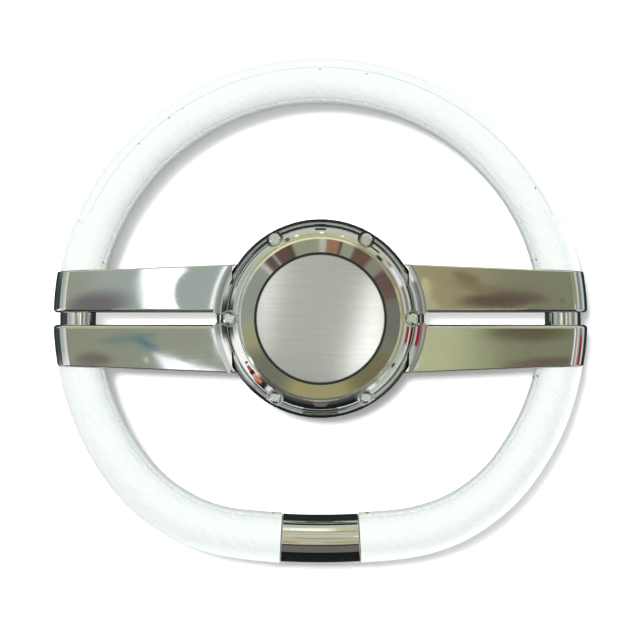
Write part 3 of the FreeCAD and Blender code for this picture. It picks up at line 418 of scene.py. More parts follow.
def only(piece):
    """Deselects everything else and makes this piece the active one."""
    if bpy.context.object and bpy.context.object.mode != "OBJECT":
        bpy.ops.object.mode_set(mode="OBJECT")
    bpy.ops.object.select_all(action="DESELECT")
    piece.select_set(True)
    bpy.context.view_layer.objects.active = piece
    return piece


def points_of(piece):
    flat = np.zeros(len(piece.data.vertices) * 3)
    piece.data.vertices.foreach_get("co", flat)
    return flat.reshape(-1, 3)


def move_points(piece, points):
    piece.data.vertices.foreach_set("co", np.ascontiguousarray(points, float).ravel())
    piece.data.update()


def finish_piece(piece, name, slot, material, *nodes):
    """Names a piece, gives it its finish, hangs it under the root and hides the solid parts that it stands for."""
    piece.name = name
    piece.data.name = name
    piece.data.materials.clear()
    piece.data.materials.append(material)
    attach(piece, "root")
    if nodes:
        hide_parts(*nodes)
    print(name, len(piece.data.polygons), "faces")
    return piece


# %% How the surface rises and falls near the seam
def seam_relief(along, from_seam):
    """How far the hide stands off its plain radius, in metres, at a distance across from the sewn seam."""
    across = np.abs(from_seam)
    groove = -0.00035 * np.exp(-(across / 0.0005) ** 2)
    pull = 0.5 + 0.5 * np.cos(2 * math.pi * along / STITCH_PITCH)
    dimple = -0.00022 * pull ** 2 * np.exp(-((across - 0.0012) / 0.0009) ** 2)
    pucker = 0.00014 * (1 - pull) * np.exp(-((across - 0.0024) / 0.0014) ** 2)
    waves = 0.00010 * np.sin(along * 310.0 + 40.0 * from_seam) * np.exp(-across / 0.006)
    return groove + dimple + pucker + waves


def soft_unevenness(along, facing):
    """Low, slow unevenness of a hand-wrapped grip."""
    return 0.00010 * np.sin(along * 61.0 + 2.0 * facing) + 0.00007 * np.sin(along * 143.0 - 3.0 * facing)


def side_spaced(share):
    """Crowds the rows of a strip near both of its long edges. share runs from 0 to 1."""
    return share - 0.115 * np.sin(2 * math.pi * share)


# %% Cut a strip and wrap it
def wrapped_strip(start, end, relief):
    """A strip of hide from one place along the rim to another, all the way round the grip."""
    rows = int((end - start) / 0.0015)
    bpy.ops.object.select_all(action="DESELECT")
    bpy.ops.mesh.primitive_grid_add(x_subdivisions=rows, y_subdivisions=112, size=1.0)
    strip = bpy.context.object
    flat = points_of(strip)
    along = start + (flat[:, 0] + 0.5) * (end - start)
    girth = side_spaced(flat[:, 1] + 0.5)
    facing = SEAM_FACING + girth * 2 * math.pi
    radius = grip_radius(along)
    from_seam = np.minimum(girth, 1 - girth) * 2 * math.pi * radius
    reach = radius + seam_relief(along, from_seam) + soft_unevenness(along, facing) + relief(along, facing)
    move_points(strip, on_rim(along, facing, reach))
    return only(strip)


def cut_at_spoke(upper, right):
    """Cuts the active strip off along a spoke cover's edge."""
    edge_height, taper, clearance = 0.0355, 0.0045 / 0.1113, 0.0003
    side = 1.0 if right else -1.0
    top = 1.0 if upper else -1.0
    normal = Vector((side * taper, 0.0, top)).normalized()
    on_plane = Vector((side * 0.066, 0.0, top * (edge_height + clearance)))
    strip = bpy.context.object
    bpy.ops.object.mode_set(mode="EDIT")
    bpy.ops.mesh.select_all(action="DESELECT")
    bpy.ops.object.mode_set(mode="OBJECT")
    for face in strip.data.polygons:
        face.select = face.center.x * side > 0.08
    bpy.ops.object.mode_set(mode="EDIT")
    bpy.ops.mesh.bisect(plane_co=on_plane, plane_no=normal, clear_inner=True)
    bpy.ops.object.mode_set(mode="OBJECT")


def thickened(strip, thickness=HIDE):
    """Turns the faces outwards and gives the hide its thickness, inwards."""
    bpy.ops.object.mode_set(mode="EDIT")
    bpy.ops.mesh.select_all(action="SELECT")
    bpy.ops.mesh.normals_make_consistent(inside=False)
    bpy.ops.object.mode_set(mode="OBJECT")
    middle = strip.data.polygons[len(strip.data.polygons) // 3]
    outwards = on_rim_middle(middle.center)
    if (Vector(middle.center) - outwards).dot(middle.normal) < 0:
        strip.data.flip_normals()
    hide = strip.modifiers.new("hide", "SOLIDIFY")
    hide.thickness = thickness
    hide.offset = -1.0
    bpy.ops.object.modifier_apply(modifier=hide.name)
    bpy.ops.object.shade_smooth_by_angle(angle=math.radians(50))
    return strip


def on_rim_middle(point):
    """The nearest point of the rim's line."""
    ways = np.linspace(-HALF_LENGTH, HALF_LENGTH, 4001)
    line = on_rim(ways, 0.0, 0.0)
    nearest = np.argmin(((line - np.array(point)) ** 2).sum(1))
    return Vector(line[nearest])


# %% [markdown]
# The top panel is a second, narrower strip over the rim's outer side. The main strip is a little lower
# under it, so the panel's edge shows as a fine seam on the front face and turns outwards at its ends.

# %% Where the top panel lies
PANEL_CORNER = 0.008
PANEL_SINK = 0.0011


def panel_edge(along):
    """How far out from the grip's middle the panel's seam runs, in metres."""
    into_corner = np.clip(PANEL_CORNER - (PANEL_END - np.abs(along)), 0.0, PANEL_CORNER)
    turned_out = PANEL_CORNER - np.sqrt(np.maximum(PANEL_CORNER ** 2 - into_corner ** 2, 0.0))
    return PANEL_OFFSET + turned_out


def under_panel(along, facing):
    """The main strip sinks where the panel lies over it."""
    outward = GRIP_RADIUS * np.cos(facing) - panel_edge(along)
    end = PANEL_END - np.abs(along)
    inside = np.minimum(outward / np.maximum(np.abs(np.sin(facing)), 0.35), end)
    return -PANEL_SINK * np.clip((inside + 0.0002) / 0.0006, 0.0, 1.0)


# %% The upper leather
spoke_way = ROUND_RADIUS * math.radians(90 - 8.0)
upper = wrapped_strip(-spoke_way, spoke_way, under_panel)
cut_at_spoke(upper=True, right=True)
cut_at_spoke(upper=True, right=False)
thickened(upper)
finish_piece(upper, "upper_leather_sewn", "white_leather", leather, "upper_leather")

# %% The lower leathers, right and left
def no_relief(along, facing):
    return np.zeros_like(along)


lower_from = ROUND_RADIUS * math.radians(90 + 5.0)
lower_to = HALF_LENGTH - 0.0263
right_lower = wrapped_strip(lower_from, lower_to, no_relief)
cut_at_spoke(upper=False, right=True)
thickened(right_lower)
finish_piece(right_lower, "right_lower_leather_sewn", "white_leather", leather, "right_lower_leather")
left_lower = wrapped_strip(-lower_to, -lower_from, no_relief)
cut_at_spoke(upper=False, right=False)
thickened(left_lower)
finish_piece(left_lower, "left_lower_leather_sewn", "white_leather", leather, "left_lower_leather")


# %% The top panel
def cut_panel():
    """A strip whose edges follow the panel's seam, turned down all round."""
    bpy.ops.object.select_all(action="DESELECT")
    bpy.ops.mesh.primitive_grid_add(x_subdivisions=200, y_subdivisions=44, size=1.0)
    panel = bpy.context.object
    flat = points_of(panel)
    share = 2 * flat[:, 0]
    along = np.sign(share) * PANEL_END * (1 - (1 - np.abs(share)) ** 1.25) * 0.99995
    across = np.sin(flat[:, 1] * math.pi) * 0.5 + flat[:, 1] * 0.5
    gap = 0.00035
    limit = np.arccos(np.clip((panel_edge(along) + gap) / GRIP_RADIUS, -1.0, 1.0))
    facing = 2 * across * limit
    to_edge = (limit - np.abs(facing)) * GRIP_RADIUS
    to_end = PANEL_END - np.abs(along)
    near = np.minimum(to_edge, to_end)
    turned_down = -0.0009 * np.clip(1 - near / 0.0011, 0.0, 1.0) ** 2
    puffed = 0.00012 * np.exp(-((near - 0.0016) / 0.001) ** 2)
    reach = GRIP_RADIUS + turned_down + puffed + soft_unevenness(along, facing)
    move_points(panel, on_rim(along, facing, reach))
    only(panel)
    return thickened(panel, PANEL_HIDE)


top_panel = cut_panel()
finish_piece(top_panel, "top_panel_sewn", "white_leather", leather, "top_leather_panel")

# %% [markdown]
# ## The sewing
# The two edges are drawn together by hand with a waxed white thread, a long and a short stitch in turn. Each
# lies along the groove at a slant and dives into a needle hole at both ends. One stitch is modelled flat,
# as a thin rod that arches in the middle, and copies of it are carried to the rim like the leather.

# %% Thread
def make_thread():
    material, recipe, shader = new_finish("waxed_thread", (0.95, 0.965, 0.96), 0.42)
    place = recipe.place()
    strands = recipe.noise(recipe.turned(place, (1.0, 1.0, 2.2), (0.0, 0.6, 0.0)), 2600.0, 2.0, 0.5)
    wire(recipe, recipe.mixed(strands.rise(0.3, 0.6), (0.90, 0.93, 0.92), (0.97, 0.98, 0.975)), shader, "Base Color")
    wire(recipe, 0.36 + strands * 0.2, shader, "Roughness")
    wire(recipe, recipe.bump(strands, 0.00006), shader, "Normal")
    return material


thread = make_thread()
THREAD_RADIUS = 0.00062


def flat_stitch():
    """One stitch lying along X: a thin rod with round ends that arches up in the middle."""
    length = 0.0046
    bpy.ops.object.select_all(action="DESELECT")
    bpy.ops.mesh.primitive_cylinder_add(vertices=8, radius=THREAD_RADIUS, depth=length, rotation=(0, math.pi / 2, 0))
    stitch = bpy.context.object
    bpy.ops.object.transform_apply(location=False, rotation=True, scale=False)
    bpy.ops.object.mode_set(mode="EDIT")
    bpy.ops.mesh.select_all(action="DESELECT")
    bpy.ops.object.mode_set(mode="OBJECT")
    for edge in stitch.data.edges:
        ends = [stitch.data.vertices[index].co.x for index in edge.vertices]
        edge.select = abs(ends[0] - ends[1]) > length / 2
    bpy.ops.object.mode_set(mode="EDIT")
    bpy.ops.mesh.subdivide_edgering(number_cuts=7)
    bpy.ops.object.mode_set(mode="OBJECT")
    points = points_of(stitch)
    share = points[:, 0] / (length / 2)
    waist = 1.0 - 0.35 * np.abs(share) ** 4
    points[:, 1] *= waist
    points[:, 2] = points[:, 2] * waist + 0.0008 * (1 - share ** 2) - 0.0002
    points[:, 1] += 0.0009 * share
    move_points(stitch, points)
    return stitch


pattern = flat_stitch()
print("one stitch:", len(pattern.data.polygons), "faces")


# %% Sew a seam
def sewn(name, start, end, mirrored):
    """Copies of the stitch along the seam, each with its own mesh, joined into one thread."""
    count = int(round(abs(end - start) / STITCH_PITCH))
    flat = points_of(pattern)
    copies = []
    for index in range(count):
        way = start + (index + 0.5) * (end - start) / count
        way = round(way / STITCH_PITCH) * STITCH_PITCH + STITCH_PITCH / 2
        if not min(start, end) + 0.003 < way < max(start, end) - 0.003:
            continue
        copy = pattern.copy()
        copy.data = pattern.data.copy()
        bpy.context.scene.collection.objects.link(copy)
        radius = grip_radius(np.array([way]))[0]
        wobble = 0.00025 * math.sin(index * 2.4)
        across = flat[:, 1] * (-1 if mirrored else 1) + wobble
        along = way + flat[:, 0] * (0.62 if index % 2 else 1.0)
        move_points(copy, on_rim(along, SEAM_FACING + across / radius, radius + flat[:, 2]))
        copies.append(copy)
    only(copies[0])
    for copy in copies:
        copy.select_set(True)
    bpy.ops.object.join()
    seam = bpy.context.object
    bpy.ops.object.mode_set(mode="EDIT")
    bpy.ops.mesh.select_all(action="SELECT")
    bpy.ops.mesh.normals_make_consistent(inside=False)
    bpy.ops.object.mode_set(mode="OBJECT")
    bpy.ops.object.shade_smooth_by_angle(angle=math.radians(70))
    print(name, len(copies), "stitches")
    return finish_piece(seam, name, "white_leather", thread)


end_of_upper = ROUND_RADIUS * math.radians(90 - 13.6)
start_of_lower = ROUND_RADIUS * math.radians(90 + 15.2)
sewn("upper_stitches", -end_of_upper, end_of_upper, False)
sewn("right_lower_stitches", start_of_lower, lower_to, False)
sewn("left_lower_stitches", -lower_to, -start_of_lower, True)
bpy.data.objects.remove(pattern)

# %% [markdown]
# ## The table
# The wheel lies on its back on a white table. One large plane does, just behind the hub. It takes the
# wheel's soft shadow. Seen from behind it is clear, so that the wheel's back can be looked at too, and it
# is left out of reflections, where the white world shows instead. Inside the rim lies a greyer sheet and
# round it a brighter one, which only soft light meets: so the leather is darker on its inner side.

# %% Table
def facing_only(material, recipe, front):
    """Ends a recipe: this shader on the front of the faces, and clear on their back."""
    clear = recipe.add("ShaderNodeBsdfTransparent")
    behind = recipe.add("ShaderNodeNewGeometry", {}, {}, "Backfacing")
    whole = recipe.add("ShaderNodeMixShader", {}, {0: behind, 1: front, 2: clear})
    output = material.node_tree.nodes["Material Output"]
    material.node_tree.links.new(whole.socket, output.inputs["Surface"])


def empty_finish(name):
    """A material without a shader yet, and its recipe."""
    material = bpy.data.materials.new(name)
    material.use_nodes = True
    material.node_tree.nodes.remove(material.node_tree.nodes["Principled BSDF"])
    return material, Recipe(material.node_tree)


def make_table():
    material, recipe = empty_finish("white_table")
    x, z, depth = recipe.parts(recipe.place())
    # Painted light: where the table shows through the spoke slots it glows more strongly, so that the shade there is
    # lifted towards white.
    painted_light_in_slots = z.size().rise(0.010, 0.006) * x.size().rise(0.060, 0.066) * x.size().rise(0.175, 0.165)
    seen = recipe.add("ShaderNodeLightPath", {}, {}, "Is Camera Ray")
    paper = recipe.add("ShaderNodeBsdfDiffuse", {}, {"Color": (0.44, 0.44, 0.44, 1.0)})
    glow = recipe.add("ShaderNodeEmission", {}, {"Strength": seen * (0.18 + painted_light_in_slots * 0.30)})
    facing_only(material, recipe, recipe.add("ShaderNodeAddShader", {}, {0: paper, 1: glow}))
    return material


def make_sheet_paint(name, color):
    material, recipe = empty_finish(name)
    facing_only(material, recipe, recipe.add("ShaderNodeBsdfDiffuse", {}, {"Color": (*color, 1.0)}))
    return material


def make_bright_sheet():
    """Shines from the right and from below, the sides that the key lamp leaves darker."""
    material, recipe = empty_finish("bright_sheet")
    x, y, z = recipe.parts(recipe.place())
    low_right = (x - z * 0.8).rise(-0.06, 0.20)
    facing_only(material, recipe, recipe.add("ShaderNodeEmission", {}, {"Strength": 1.5 + low_right * 3.2}))
    return material


def hidden_from(piece, *kinds):
    for kind in kinds:
        setattr(piece, "visible_" + kind, False)


def flat_ring(name, y, inner, outer):
    """A flat ring that faces the viewer, or a disc where inner is nothing."""
    bpy.ops.object.select_all(action="DESELECT")
    bpy.ops.mesh.primitive_circle_add(vertices=96, radius=outer, fill_type="NGON", location=(0.0, y, 0.0), rotation=(math.pi / 2, 0.0, 0.0))
    ring = bpy.context.object
    ring.name = name
    bpy.ops.object.transform_apply(location=True, rotation=True, scale=True)
    if inner:
        bpy.ops.object.mode_set(mode="EDIT")
        bpy.ops.mesh.select_all(action="SELECT")
        bpy.ops.mesh.inset(thickness=outer - inner)
        bpy.ops.mesh.delete(type="FACE")
        bpy.ops.object.mode_set(mode="OBJECT")
    return ring


bpy.ops.object.select_all(action="DESELECT")
bpy.ops.mesh.primitive_plane_add(size=8.0, location=(0.0, 0.004, 0.0), rotation=(math.pi / 2, 0.0, 0.0))
table = bpy.context.object
table.name = "table"
table.data.materials.append(make_table())
hidden_from(table, "glossy", "diffuse", "transmission", "shadow")
grey_sheet = flat_ring("grey_sheet", 0.006, 0.0, 0.145)
grey_sheet.data.materials.append(make_sheet_paint("grey_sheet", (0.33, 0.38, 0.35)))
outer_sheet = flat_ring("outer_sheet", 0.006, 0.200, 0.40)
outer_sheet.data.materials.append(make_bright_sheet())
for sheet in (grey_sheet, outer_sheet):
    hidden_from(sheet, "camera", "glossy", "transmission", "shadow")
for sheet in (table, grey_sheet, outer_sheet):
    print(sheet.name, "faces", tuple(round(c) for c in sheet.matrix_world.to_3x3() @ sheet.data.polygons[0].normal))

# %% [markdown]
# ## The room and the lamps
# Chrome shows nothing but its surroundings, so the room matters as much as the metal. The world is white
# to the camera. To matt surfaces it is an even light, stronger from above and from the sides than from
# straight ahead, where the key lamp adds its own. To reflections it is a room, described by two angles:
# how far a direction lies from straight ahead of the wheel, and which way it leans, as on a clock's face.
# Above is a cream wall, below a dark floor, to the left a row of windows and to the right a darker wall.
# A lamp of its own lights the table, so that the shadow is clear and the paper round it white.

# %% World
def make_room():
    world = bpy.data.worlds.new("studio")
    bpy.context.scene.world = world
    world.use_nodes = True
    recipe = Recipe(world.node_tree)
    for node in list(world.node_tree.nodes):
        world.node_tree.nodes.remove(node)
    looking = recipe.add("ShaderNodeTexCoord", {}, {}, "Generated")
    x, y, z = recipe.parts(looking)
    away = y.math("ARCCOSINE", 0.0 - y) / math.pi
    reach = (x * x + z * z + 0.000001) ** 0.5
    right, up = x / reach, z / reach
    metal = room_in_metal(recipe, away, right, up)
    soft = 0.80 + y * 0.55 + z * 0.20 - x * 0.08
    light = recipe.add("ShaderNodeVectorMath", {"operation": "SCALE"}, {0: (0.955, 1.0, 0.975), "Scale": soft})
    path = world.node_tree.nodes.new("ShaderNodeLightPath")
    camera, glossy = Value(recipe, path.outputs["Is Camera Ray"]), Value(recipe, path.outputs["Is Glossy Ray"])
    plain = recipe.mixed(camera, light, (1.0, 1.0, 1.0))
    color = recipe.mixed(glossy, plain, metal)
    background = recipe.add("ShaderNodeBackground", {}, {"Color": color, "Strength": 1.0})
    output = world.node_tree.nodes.new("ShaderNodeOutputWorld")
    world.node_tree.links.new(background.socket, output.inputs["Surface"])


def toward(right, up, clock, width, soft=10.0):
    """1 for directions that lean this way, within a width in degrees; clock is 0 to the right, 90 up."""
    turn = math.radians(clock)
    near, far = math.cos(math.radians(width - soft)), math.cos(math.radians(width + soft))
    return (right * math.cos(turn) + up * math.sin(turn)).rise(far, near)


def steps(*stops):
    """Ramp stops from pairs of degrees and colour."""
    return [(degrees / 180, color) for degrees, color in stops]


def room_in_metal(recipe, away, right, up):
    """The room that chrome mirrors. away is the share of a half turn from straight ahead."""
    above = recipe.ramp(away, steps(
        (8, (0.72, 0.67, 0.46)), (22, (0.56, 0.58, 0.33)), (50, (0.58, 0.61, 0.42)), (84, (0.62, 0.68, 0.63)),
        (96, (0.30, 0.33, 0.30)), (106, (0.035, 0.035, 0.03)), (160, (0.03, 0.03, 0.025)), (172, (1.0, 1.0, 1.0))))
    below = recipe.ramp(away, steps(
        (6, (0.20, 0.21, 0.21)), (14, (0.13, 0.13, 0.135)), (28, (0.08, 0.083, 0.093)), (40, (0.07, 0.075, 0.085)), (62, (0.012, 0.013, 0.014)),
        (160, (0.018, 0.02, 0.022)), (172, (1.0, 1.0, 1.0))))
    windows = recipe.ramp(away, steps(
        (8, (0.60, 0.62, 0.50)), (24, (0.72, 0.78, 0.70)), (48, (0.42, 0.46, 0.41)), (62, (0.50, 0.53, 0.47)),
        (76, (0.60, 0.65, 0.58)), (92, (0.55, 0.66, 0.62)), (106, (0.04, 0.06, 0.06)), (160, (0.03, 0.03, 0.03)),
        (172, (1.0, 1.0, 1.0))))
    low_window = recipe.ramp(away, steps(
        (8, (0.85, 0.85, 0.72)), (20, (1.15, 1.15, 1.10)), (90, (1.15, 1.15, 1.12)), (108, (0.20, 0.21, 0.20)),
        (160, (0.04, 0.04, 0.04)), (172, (1.0, 1.0, 1.0))))
    dark_wall = recipe.ramp(away, steps(
        (8, (0.26, 0.27, 0.18)), (30, (0.34, 0.34, 0.26)), (42, (0.80, 0.77, 0.70)), (50, (0.42, 0.40, 0.36)),
        (60, (0.20, 0.22, 0.20)), (76, (0.36, 0.39, 0.37)), (86, (0.72, 0.80, 0.80)), (94, (0.60, 0.70, 0.72)),
        (106, (0.03, 0.04, 0.04)), (160, (0.02, 0.02, 0.02)), (172, (1.0, 1.0, 1.0))))
    low_right = recipe.ramp(away, steps(
        (8, (0.27, 0.28, 0.22)), (30, (0.42, 0.44, 0.35)), (70, (0.58, 0.62, 0.55)), (90, (0.66, 0.70, 0.66)),
        (106, (0.08, 0.08, 0.08)), (160, (0.02, 0.02, 0.02)), (172, (1.0, 1.0, 1.0))))
    room = recipe.mixed(up.rise(-0.45, 0.15), below, above)
    room = recipe.mixed(toward(right, up, 0, 38), room, dark_wall)
    room = recipe.mixed(toward(right, up, -40, 20, 8), room, low_right)
    room = recipe.mixed(toward(right, up, 172, 30), room, windows)
    room = recipe.mixed(toward(right, up, 206, 16, 4), room, low_window)
    # clock from, clock to, degrees away from, to, and the colour of what stands there
    things = [(-150, -148.5, 36, 60, (0.03, 0.03, 0.03)), (-147, -142, 40, 68, (0.50, 0.08, 0.05)),
              (-143, -140, 36, 76, (0.02, 0.02, 0.02)), (-139.5, -133, 44, 76, (0.80, 0.24, 0.12)),
              (-132.5, -129, 40, 80, (0.02, 0.02, 0.02)), (-128.5, -124, 36, 84, (0.90, 0.90, 0.88)),
              (22, 36, 44, 74, (0.95, 0.90, 0.92)), (37, 40, 56, 74, (0.62, 0.22, 0.26)),
              (43.5, 48, 22, 48, (0.02, 0.03, 0.03)), (48, 57, 60, 76, (0.02, 0.04, 0.04)),
              (114, 160, 82, 93, (0.02, 0.06, 0.06)), (88, 90.5, 36, 56, (1.2, 1.2, 1.1)),
              (105, 107, 36, 60, (1.2, 1.2, 1.1)), (74, 76, 36, 50, (1.1, 1.1, 1.0)),
              (84, 120, 36, 41, (0.42, 0.36, 0.16)), (62, 120, 25, 29, (0.78, 0.72, 0.46)),
              (111, 114, 30, 62, (0.10, 0.13, 0.13)),
              (-14, 3, 9, 21, (0.95, 0.96, 1.0)), (-16, -3.5, 60, 80, (0.36, 0.02, 0.035)),
              (-46, -38, 36, 44, (0.95, 0.95, 0.92)), (-56, -50, 30, 60, (0.95, 0.95, 0.92)),
              (-34, -31, 40, 62, (0.08, 0.09, 0.09))]
    for clock_from, clock_to, away_from, away_to, color in things:
        half = (clock_to - clock_from) / 2
        share = toward(right, up, clock_from + half, half, min(half * 0.4, 1.2))
        share = share * away.rise(away_from / 180 - 0.006, away_from / 180 + 0.006)
        share = share * away.rise(away_to / 180 + 0.006, away_to / 180 - 0.006)
        room = recipe.mixed(share, room, color)
    # straight above and straight below, as the bottom sleeve shows them
    side = right * (away * math.pi).sine()
    upright = (side * side).rise(0.0045, 0.0030)
    overhead, underfoot = upright * up.rise(0.1, 0.3), upright * up.rise(-0.1, -0.3)
    room = recipe.mixed(overhead * away.rise(0.395, 0.405), room, (0.02, 0.025, 0.025))
    room = recipe.mixed(upright * away.rise(0.135, 0.128), room, (0.58, 0.54, 0.36))
    room = recipe.mixed(underfoot * away.rise(0.135, 0.142) * away.rise(0.172, 0.166), room, (0.05, 0.05, 0.045))
    room = recipe.mixed(underfoot * away.rise(0.166, 0.172) * away.rise(0.37, 0.36), room, (0.17, 0.155, 0.14))
    doorway = toward(right, up, 180, 11, 5) * away.rise(0.35, 0.38)
    return recipe.mixed(doorway * away.rise(0.59, 0.57), room, (0.06, 0.07, 0.07))


make_room()


# %% Lamps
def lamp(name, place, size, watts, color=(1.0, 1.0, 1.0)):
    """A square lamp that shines at the middle of the wheel. Metal doesn't show it."""
    light = bpy.data.lights.new(name, "AREA")
    light.shape = "SQUARE"
    light.size = size
    light.energy = watts
    light.color = color
    holder = bpy.data.objects.new(name, light)
    bpy.context.scene.collection.objects.link(holder)
    holder.location = place
    holder.rotation_euler = (Vector((0.0, -0.03, 0.0)) - Vector(place)).to_track_quat("-Z", "Y").to_euler()
    hidden_from(holder, "glossy")
    return holder


def lit_alone(light, piece):
    """The lamp lights this piece and nothing else."""
    group = bpy.data.collections.new("lit_by_" + light.name)
    group.objects.link(piece)
    light.light_linking.receiver_collection = group


lamp("key_lamp", (-0.10, -1.84, 0.13), 0.45, 23.5, (0.985, 1.0, 0.995))
lamp("rear_lamp", (0.6, 1.6, 0.9), 0.5, 4.0)
table_lamp = lamp("table_lamp", (-0.33, -1.80, 0.35), 0.38, 84.0)
lit_alone(table_lamp, table)
casters = bpy.data.collections.new("shadow_casters")
for piece in (upper, right_lower, left_lower, top_panel):
    casters.objects.link(piece)
for name in ("rear_hub_cover", "left_spoke_rear", "right_spoke_rear", "bottom_sleeve", "left_rim_sleeve",
             "right_rim_sleeve"):
    casters.objects.link(bpy.data.objects[name])
table_lamp.light_linking.blocker_collection = casters
print("lamps:", [light.name for light in bpy.data.lights])

# %% [markdown]
# The flat spoke faces mirror a small patch of the room close in front of them. A soft card hangs there
# on each side, out of the camera's sight, and its shading is what the polished faces show: a pale window,
# warm greys and a few dark folds. The bezel's cone mirrors a ring further out, on the other side of the
# shaft, and has a ring-shaped card of its own. Each card is painted in the wheel's own millimetres.

# %% Cards for the spokes, the plate and the cone
CARD_PLANE = -0.55
CARD_GROWTH = 1.427
ARM_SHIFT = 0.0289


def card_paint(card, paint):
    """Gives a card its glow and hides it from all but reflections."""
    material, recipe = empty_finish(card.name + "_paint")
    x, y, z = recipe.parts(recipe.place())
    glow = recipe.add("ShaderNodeEmission", {}, {"Color": paint(recipe, x, z), "Strength": 1.0})
    material.node_tree.links.new(glow.socket, material.node_tree.nodes["Material Output"].inputs["Surface"])
    card.data.materials.append(material)
    hidden_from(card, "camera", "diffuse", "transmission", "shadow")


def new_card(name, x_from, x_to, half_height, paint):
    bpy.ops.object.select_all(action="DESELECT")
    bpy.ops.mesh.primitive_plane_add(size=1.0, location=((x_from + x_to) / 2, CARD_PLANE, 0.0), rotation=(-math.pi / 2, 0.0, 0.0))
    card = bpy.context.object
    card.name = name
    card.scale = (x_to - x_from, 2 * half_height, 1.0)
    bpy.ops.object.transform_apply(location=True, rotation=True, scale=True)
    card_paint(card, paint)


def new_ring_card(name, inner, outer, paint):
    card_paint(flat_ring(name, CARD_PLANE, inner, outer), paint)


def spot(x, z, centre, width, height, lean=0.0, soft=0.35):
    """1 inside an ellipse, 0 outside it, with a soft edge. Sizes are half axes, in millimetres."""
    across = x - centre[0]
    up = z - centre[1]
    if lean:
        across, up = across * math.cos(lean) + up * math.sin(lean), up * math.cos(lean) - across * math.sin(lean)
    away = (across / width) * (across / width) + (up / height) * (up / height)
    return away.rise(1.0 + soft, 1.0 - soft)


def on_arm(x, z):
    """From a place on a card to the place on the arms that mirrors it, in millimetres from the shaft."""
    reach = (x * x + z * z) ** 0.5
    grow = (reach + ARM_SHIFT) / reach * (1000 / CARD_GROWTH)
    return x * grow, z * grow


def left_paint(recipe, x, z):
    """What the left arms show."""
    x, z = on_arm(x, z)
    upper = z.rise(-2.0, 2.0)
    low = recipe.mixed(x.rise(-168.0, -80.0), (0.305, 0.325, 0.24), (0.335, 0.36, 0.29))
    high = recipe.mixed(x.rise(-166.0, -130.0), (0.36, 0.38, 0.30), (0.40, 0.455, 0.425))
    paint = recipe.mixed(upper, low, high)
    paint = recipe.mixed(spot(x, z, (-146, 10), 20, 8, 0.10, 0.9) * 0.9, paint, (0.16, 0.145, 0.155))
    paint = recipe.mixed(spot(x, z, (-126, -13.0), 18, 2.4, 0.12, 0.9) * 0.8, paint, (0.14, 0.25, 0.26))
    paint = recipe.mixed(spot(x, z, (-114, -17.0), 9, 2.0, -0.4, 0.9) * 0.9, paint, (0.06, 0.19, 0.26))
    paint = recipe.mixed(spot(x, z, (-149, -27), 11, 4.5, -0.05, 0.9) * 0.85, paint, (0.17, 0.13, 0.125))
    moon = spot(x, z, (-103, 20), 16, 30, 0.0, 0.45) * (1 - spot(x, z, (-81, 13.5), 14.5, 20, 0.30, 0.10)) * upper
    paint = recipe.mixed(moon.clamped(), paint, (1.5, 1.62, 1.65))
    below = (z + 21.0 + (x + 110.5) * 0.30).rise(0.7, -0.9)
    beside = (x + 110.5 + (z + 21.3) * 0.7).rise(-2.5, 1.5)
    paint = recipe.mixed(below * beside, paint, (1.4, 1.5, 1.5))
    paint = recipe.mixed(spot(x, z, (-115.5, -26), 0.8, 1.6, 0.0, 0.3), paint, (1.3, 1.4, 1.4))
    reach = (x * x + z * z) ** 0.5
    line = reach.rise(69.6, 70.4) * reach.rise(72.8, 71.6) * z.rise(-27.0, -20.0)
    return recipe.mixed(line, paint, (1.2, 1.28, 1.3))


def right_paint(recipe, x, z):
    """What the right arms show, in the same way."""
    x, z = on_arm(x, z)
    upper = z.rise(-2.0, 2.0)
    high = recipe.mixed(x.rise(75.0, 150.0), (0.37, 0.33, 0.19), (0.245, 0.25, 0.165))
    low = recipe.mixed(x.rise(75.0, 140.0), (0.52, 0.54, 0.32), (0.245, 0.25, 0.16))
    paint = recipe.mixed(upper, low, high)
    paint = recipe.mixed(spot(x, z, (113, 11), 21, 5, -0.02, 0.9) * 0.85, paint, (0.10, 0.065, 0.045))
    paint = recipe.mixed(spot(x, z, (133, 13.5), 17, 4, -0.12, 0.9) * 0.85, paint, (0.13, 0.085, 0.075))
    paint = recipe.mixed(spot(x, z, (96, 28), 9, 4, -0.3, 0.9) * 0.7, paint, (0.20, 0.13, 0.075))
    paint = recipe.mixed(spot(x, z, (112, 19), 24, 4, -0.18, 0.9) * 0.45, paint, (0.15, 0.12, 0.08))
    paint = recipe.mixed(spot(x, z, (70.5, 21.5), 3.4, 6.5, 0.2, 0.4) * 0.8, paint, (0.70, 0.62, 0.38))
    paint = recipe.mixed(spot(x, z, (73, 9), 7, 4.5, -0.7, 0.3) * 0.7, paint, (0.56, 0.57, 0.36))
    paint = recipe.mixed(spot(x, z, (135, -8.5), 27, 6.5, 0.02, 0.9) * 0.85, paint, (0.115, 0.11, 0.05))
    paint = recipe.mixed(spot(x, z, (148, -28.5), 26, 3.4, 0.06, 0.9) * 0.85, paint, (0.15, 0.10, 0.09))
    paint = recipe.mixed(spot(x, z, (159.9, 11.4), 1.2, 1.0, 0.0, 0.4) * 0.7, paint, (0.08, 0.06, 0.06))
    return recipe.mixed(spot(x, z, (159.9, -25.9), 1.2, 1.0, 0.0, 0.4) * 0.7, paint, (0.06, 0.05, 0.05))


